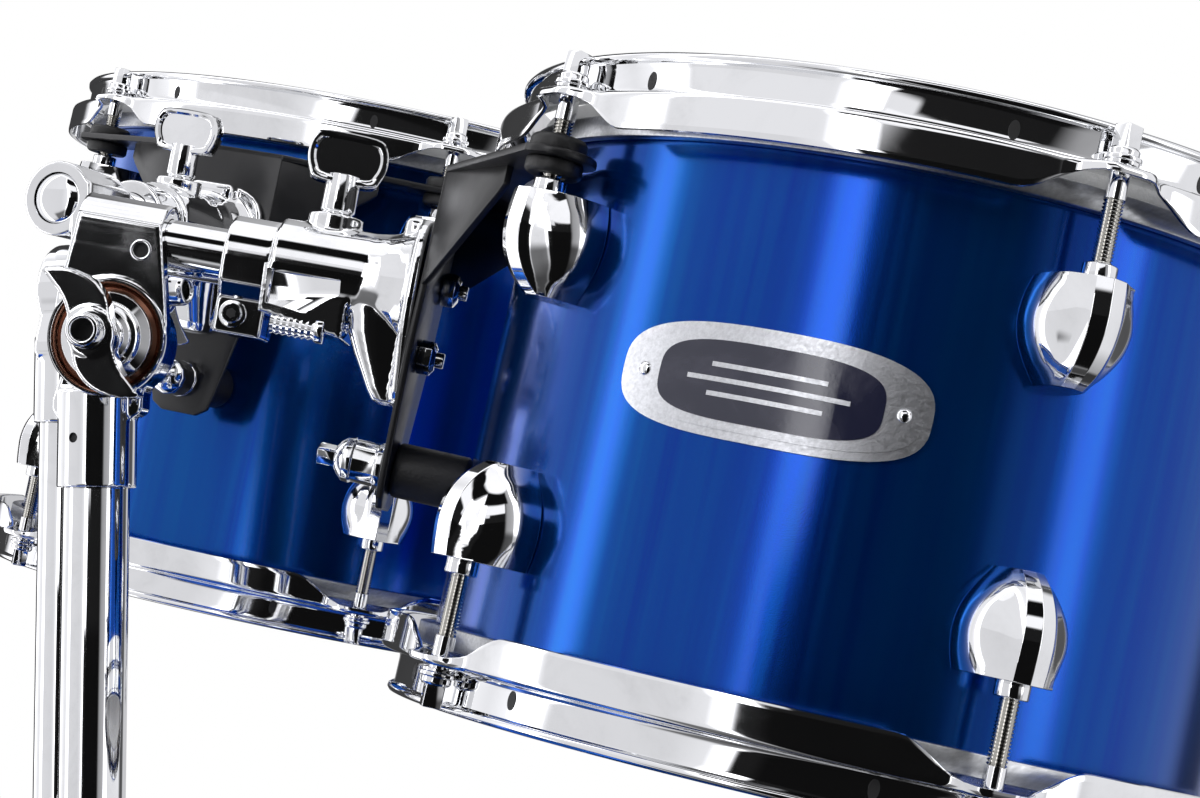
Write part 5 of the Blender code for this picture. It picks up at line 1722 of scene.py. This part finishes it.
@dataclass
class Studio:
    """The camera at the photograph's angle, the pale floor and the soft light."""

    azimuth: float = 72.0
    pitch: float = 3.3
    roll: float = 0.2
    focal_pixels: float = 2380.0
    sensor: float = 36.0
    eye: Solid = (0.8606, -0.0863, 0.715)

    def build(self) -> None:
        """Sets up the whole studio."""
        angle = math.radians(self.azimuth)
        self.back = Vector((math.sin(angle), -math.cos(angle), 0.0))
        self.right = Vector((math.cos(angle), math.sin(angle), 0.0))
        bpy.context.scene.view_settings.view_transform = "Standard"
        self.build_camera()
        self.build_floor()
        self.build_world()
        self.build_lamps()

    def build_camera(self) -> None:
        """The camera, from the photograph's perspective."""
        data = bpy.data.cameras.new("photo_camera")
        data.sensor_width = self.sensor
        data.lens = self.focal_pixels / PHOTO_WIDTH * self.sensor
        data.clip_start = 0.01
        camera = bpy.data.objects.new("photo_camera", data)
        bpy.context.scene.collection.objects.link(camera)
        turned = turn("Z", self.azimuth) @ turn("X", 90 + self.pitch) @ turn("Z", self.roll)
        camera.matrix_world = KIT_PLACE @ Matrix.Translation(self.eye) @ turned
        bpy.context.scene.camera = camera

    def build_floor(self) -> None:
        """A wide pale floor that fades into the white background."""
        bm = bmesh.new()
        bmesh.ops.create_circle(bm, cap_ends=True, segments=96, radius=14.0)
        mesh = bpy.data.meshes.new("studio_floor")
        bm.to_mesh(mesh)
        bm.free()
        made = bpy.data.materials.new("studio_floor")
        surface = Surface(made)
        path = surface.add("ShaderNodeLightPath").outputs
        surface.set("Base Color", (0.86, 0.86, 0.87, 1))
        surface.set("Roughness", 0.8)
        away = surface.add("ShaderNodeVectorMath", {0: surface.vector}, operation="LENGTH").outputs["Value"]
        fade = surface.times(surface.rise(away, 1.2, 3.4), path["Is Camera Ray"])
        glow = surface.add("ShaderNodeEmission", {"Color": (1, 1, 1, 1), "Strength": 1.0})
        mixed = surface.add("ShaderNodeMixShader", {0: fade, 1: surface.shader.outputs[0], 2: glow.outputs[0]})
        surface.put(made.node_tree.nodes["Material Output"], "Surface", mixed.outputs[0])
        mesh.materials.append(made)
        floor = bpy.data.objects.new("studio_floor", mesh)
        bpy.context.scene.collection.objects.link(floor)
        floor.location.z = -0.0005
        floor.visible_glossy = False

    def build_world(self) -> None:
        """White background, even soft light, and light panels with dark gaps for the metal to mirror."""
        world = bpy.data.worlds.new("studio")
        world.use_nodes = True
        bpy.context.scene.world = world
        board = Board(world.node_tree)
        view = board.add("ShaderNodeTexCoord").outputs["Generated"]
        across = board.add("ShaderNodeVectorMath", {0: view, 1: self.right}, operation="DOT_PRODUCT")
        towards = board.add("ShaderNodeVectorMath", {0: view, 1: self.back}, operation="DOT_PRODUCT")
        side = board.math("ARCTAN2", across.outputs["Value"], towards.outputs["Value"])
        height = board.add("ShaderNodeSeparateXYZ", {0: view}).outputs["Z"]
        ring = board.ramp(board.span(side, -math.pi, math.pi, 0.0, 1.0), PANEL_RING)
        off_front = board.math("ABSOLUTE", board.math("ADD", side, -0.09))
        # A bright stripe above the dark gap in front, and light above it on the left.
        stripe = board.times(board.fall(off_front, 0.36, 0.42), board.rise(height, 0.38, 0.43, 1.1))
        upper_left = board.times(board.rise(side, -1.9, -1.8), board.fall(side, -0.16, -0.12))
        fill = board.times(upper_left, board.rise(height, 0.30, 0.35, 0.88))
        # Darkness at the foot of the panels in front, and under the horizon there.
        low = board.times(board.rise(side, -0.46, -0.40), board.fall(height, 0.13, 0.17, 0.998))
        ring = board.without(ring, board.times(low, board.fall(side, 0.40, 0.55)))
        ring = board.times(ring, board.span(height, -0.85, -0.55, 0.35, 1.0, True))
        under = board.times(board.fall(off_front, 0.95, 1.10), board.fall(height, -0.38, -0.14, 0.80))
        ring = board.without(ring, under)
        # A dark gap between the stripe and the roof.
        gap = board.times(board.fall(off_front, 0.50, 0.60), board.rise(height, 0.62, 0.68))
        walls = board.without(board.math("MAXIMUM", board.math("MAXIMUM", ring, stripe), fill), gap)
        roof = board.rise(height, 0.87, 0.90, 1.15)
        panels = board.math("ADD", board.math("MAXIMUM", walls, roof), 0.005)
        tone = board.add("ShaderNodeCombineColor", {0: panels, 1: panels, 2: board.times(panels, 1.03)})
        path = board.add("ShaderNodeLightPath")
        seen = board.math("MAXIMUM", path.outputs["Is Camera Ray"], path.outputs["Is Transmission Ray"])
        soft = board.mix(path.outputs["Is Glossy Ray"], (0.62, 0.63, 0.65, 1), tone.outputs[0])
        ground = world.node_tree.nodes["Background"]
        board.put(ground, "Color", board.mix(seen, soft, (1, 1, 1, 1)))
        board.put(ground, "Strength", 1.0)

    def build_lamps(self) -> None:
        """A large key light from the upper left and a weaker one from the right."""
        target = KIT_PLACE @ Vector((0.0, 0.1, 0.55))
        for name, along, aside, up, size, power in (("key", 1.6, -1.9, 1.9, 1.5, 42.0),
                                                    ("fill", 1.2, 2.2, 1.2, 1.4, 16.0)):
            data = bpy.data.lights.new(f"{name}_softbox", "AREA")
            data.shape = "SQUARE"
            data.size = size
            data.energy = power
            lamp = bpy.data.objects.new(f"{name}_softbox", data)
            lamp.visible_glossy = False
            bpy.context.scene.collection.objects.link(lamp)
            spot = target + self.back * along + self.right * aside + Vector((0, 0, up))
            aim = (target - spot).to_track_quat("-Z", "Y").to_matrix().to_4x4()
            lamp.matrix_world = Matrix.Translation(spot) @ aim


def main() -> None:
    logging.basicConfig(level=logging.INFO, format="%(name)s %(message)s")
    for holder in (NEAR, FAR):
        TomDrum(holder).build()
        SuspensionMount(holder).build()
        BracketCasting(holder).build()
        TilterHead(holder).build()
    drum = BassDrum()
    drum.build()
    for word, sign in (("right", 1), ("left", -1)):
        Spur(word, sign, drum).build()
    Studio().build()
    bare = [name for name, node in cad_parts.items() if not node.hide_render]
    LOG.info("CAD nodes still shown: %s", bare)


if __name__ == "__main__":
    main()
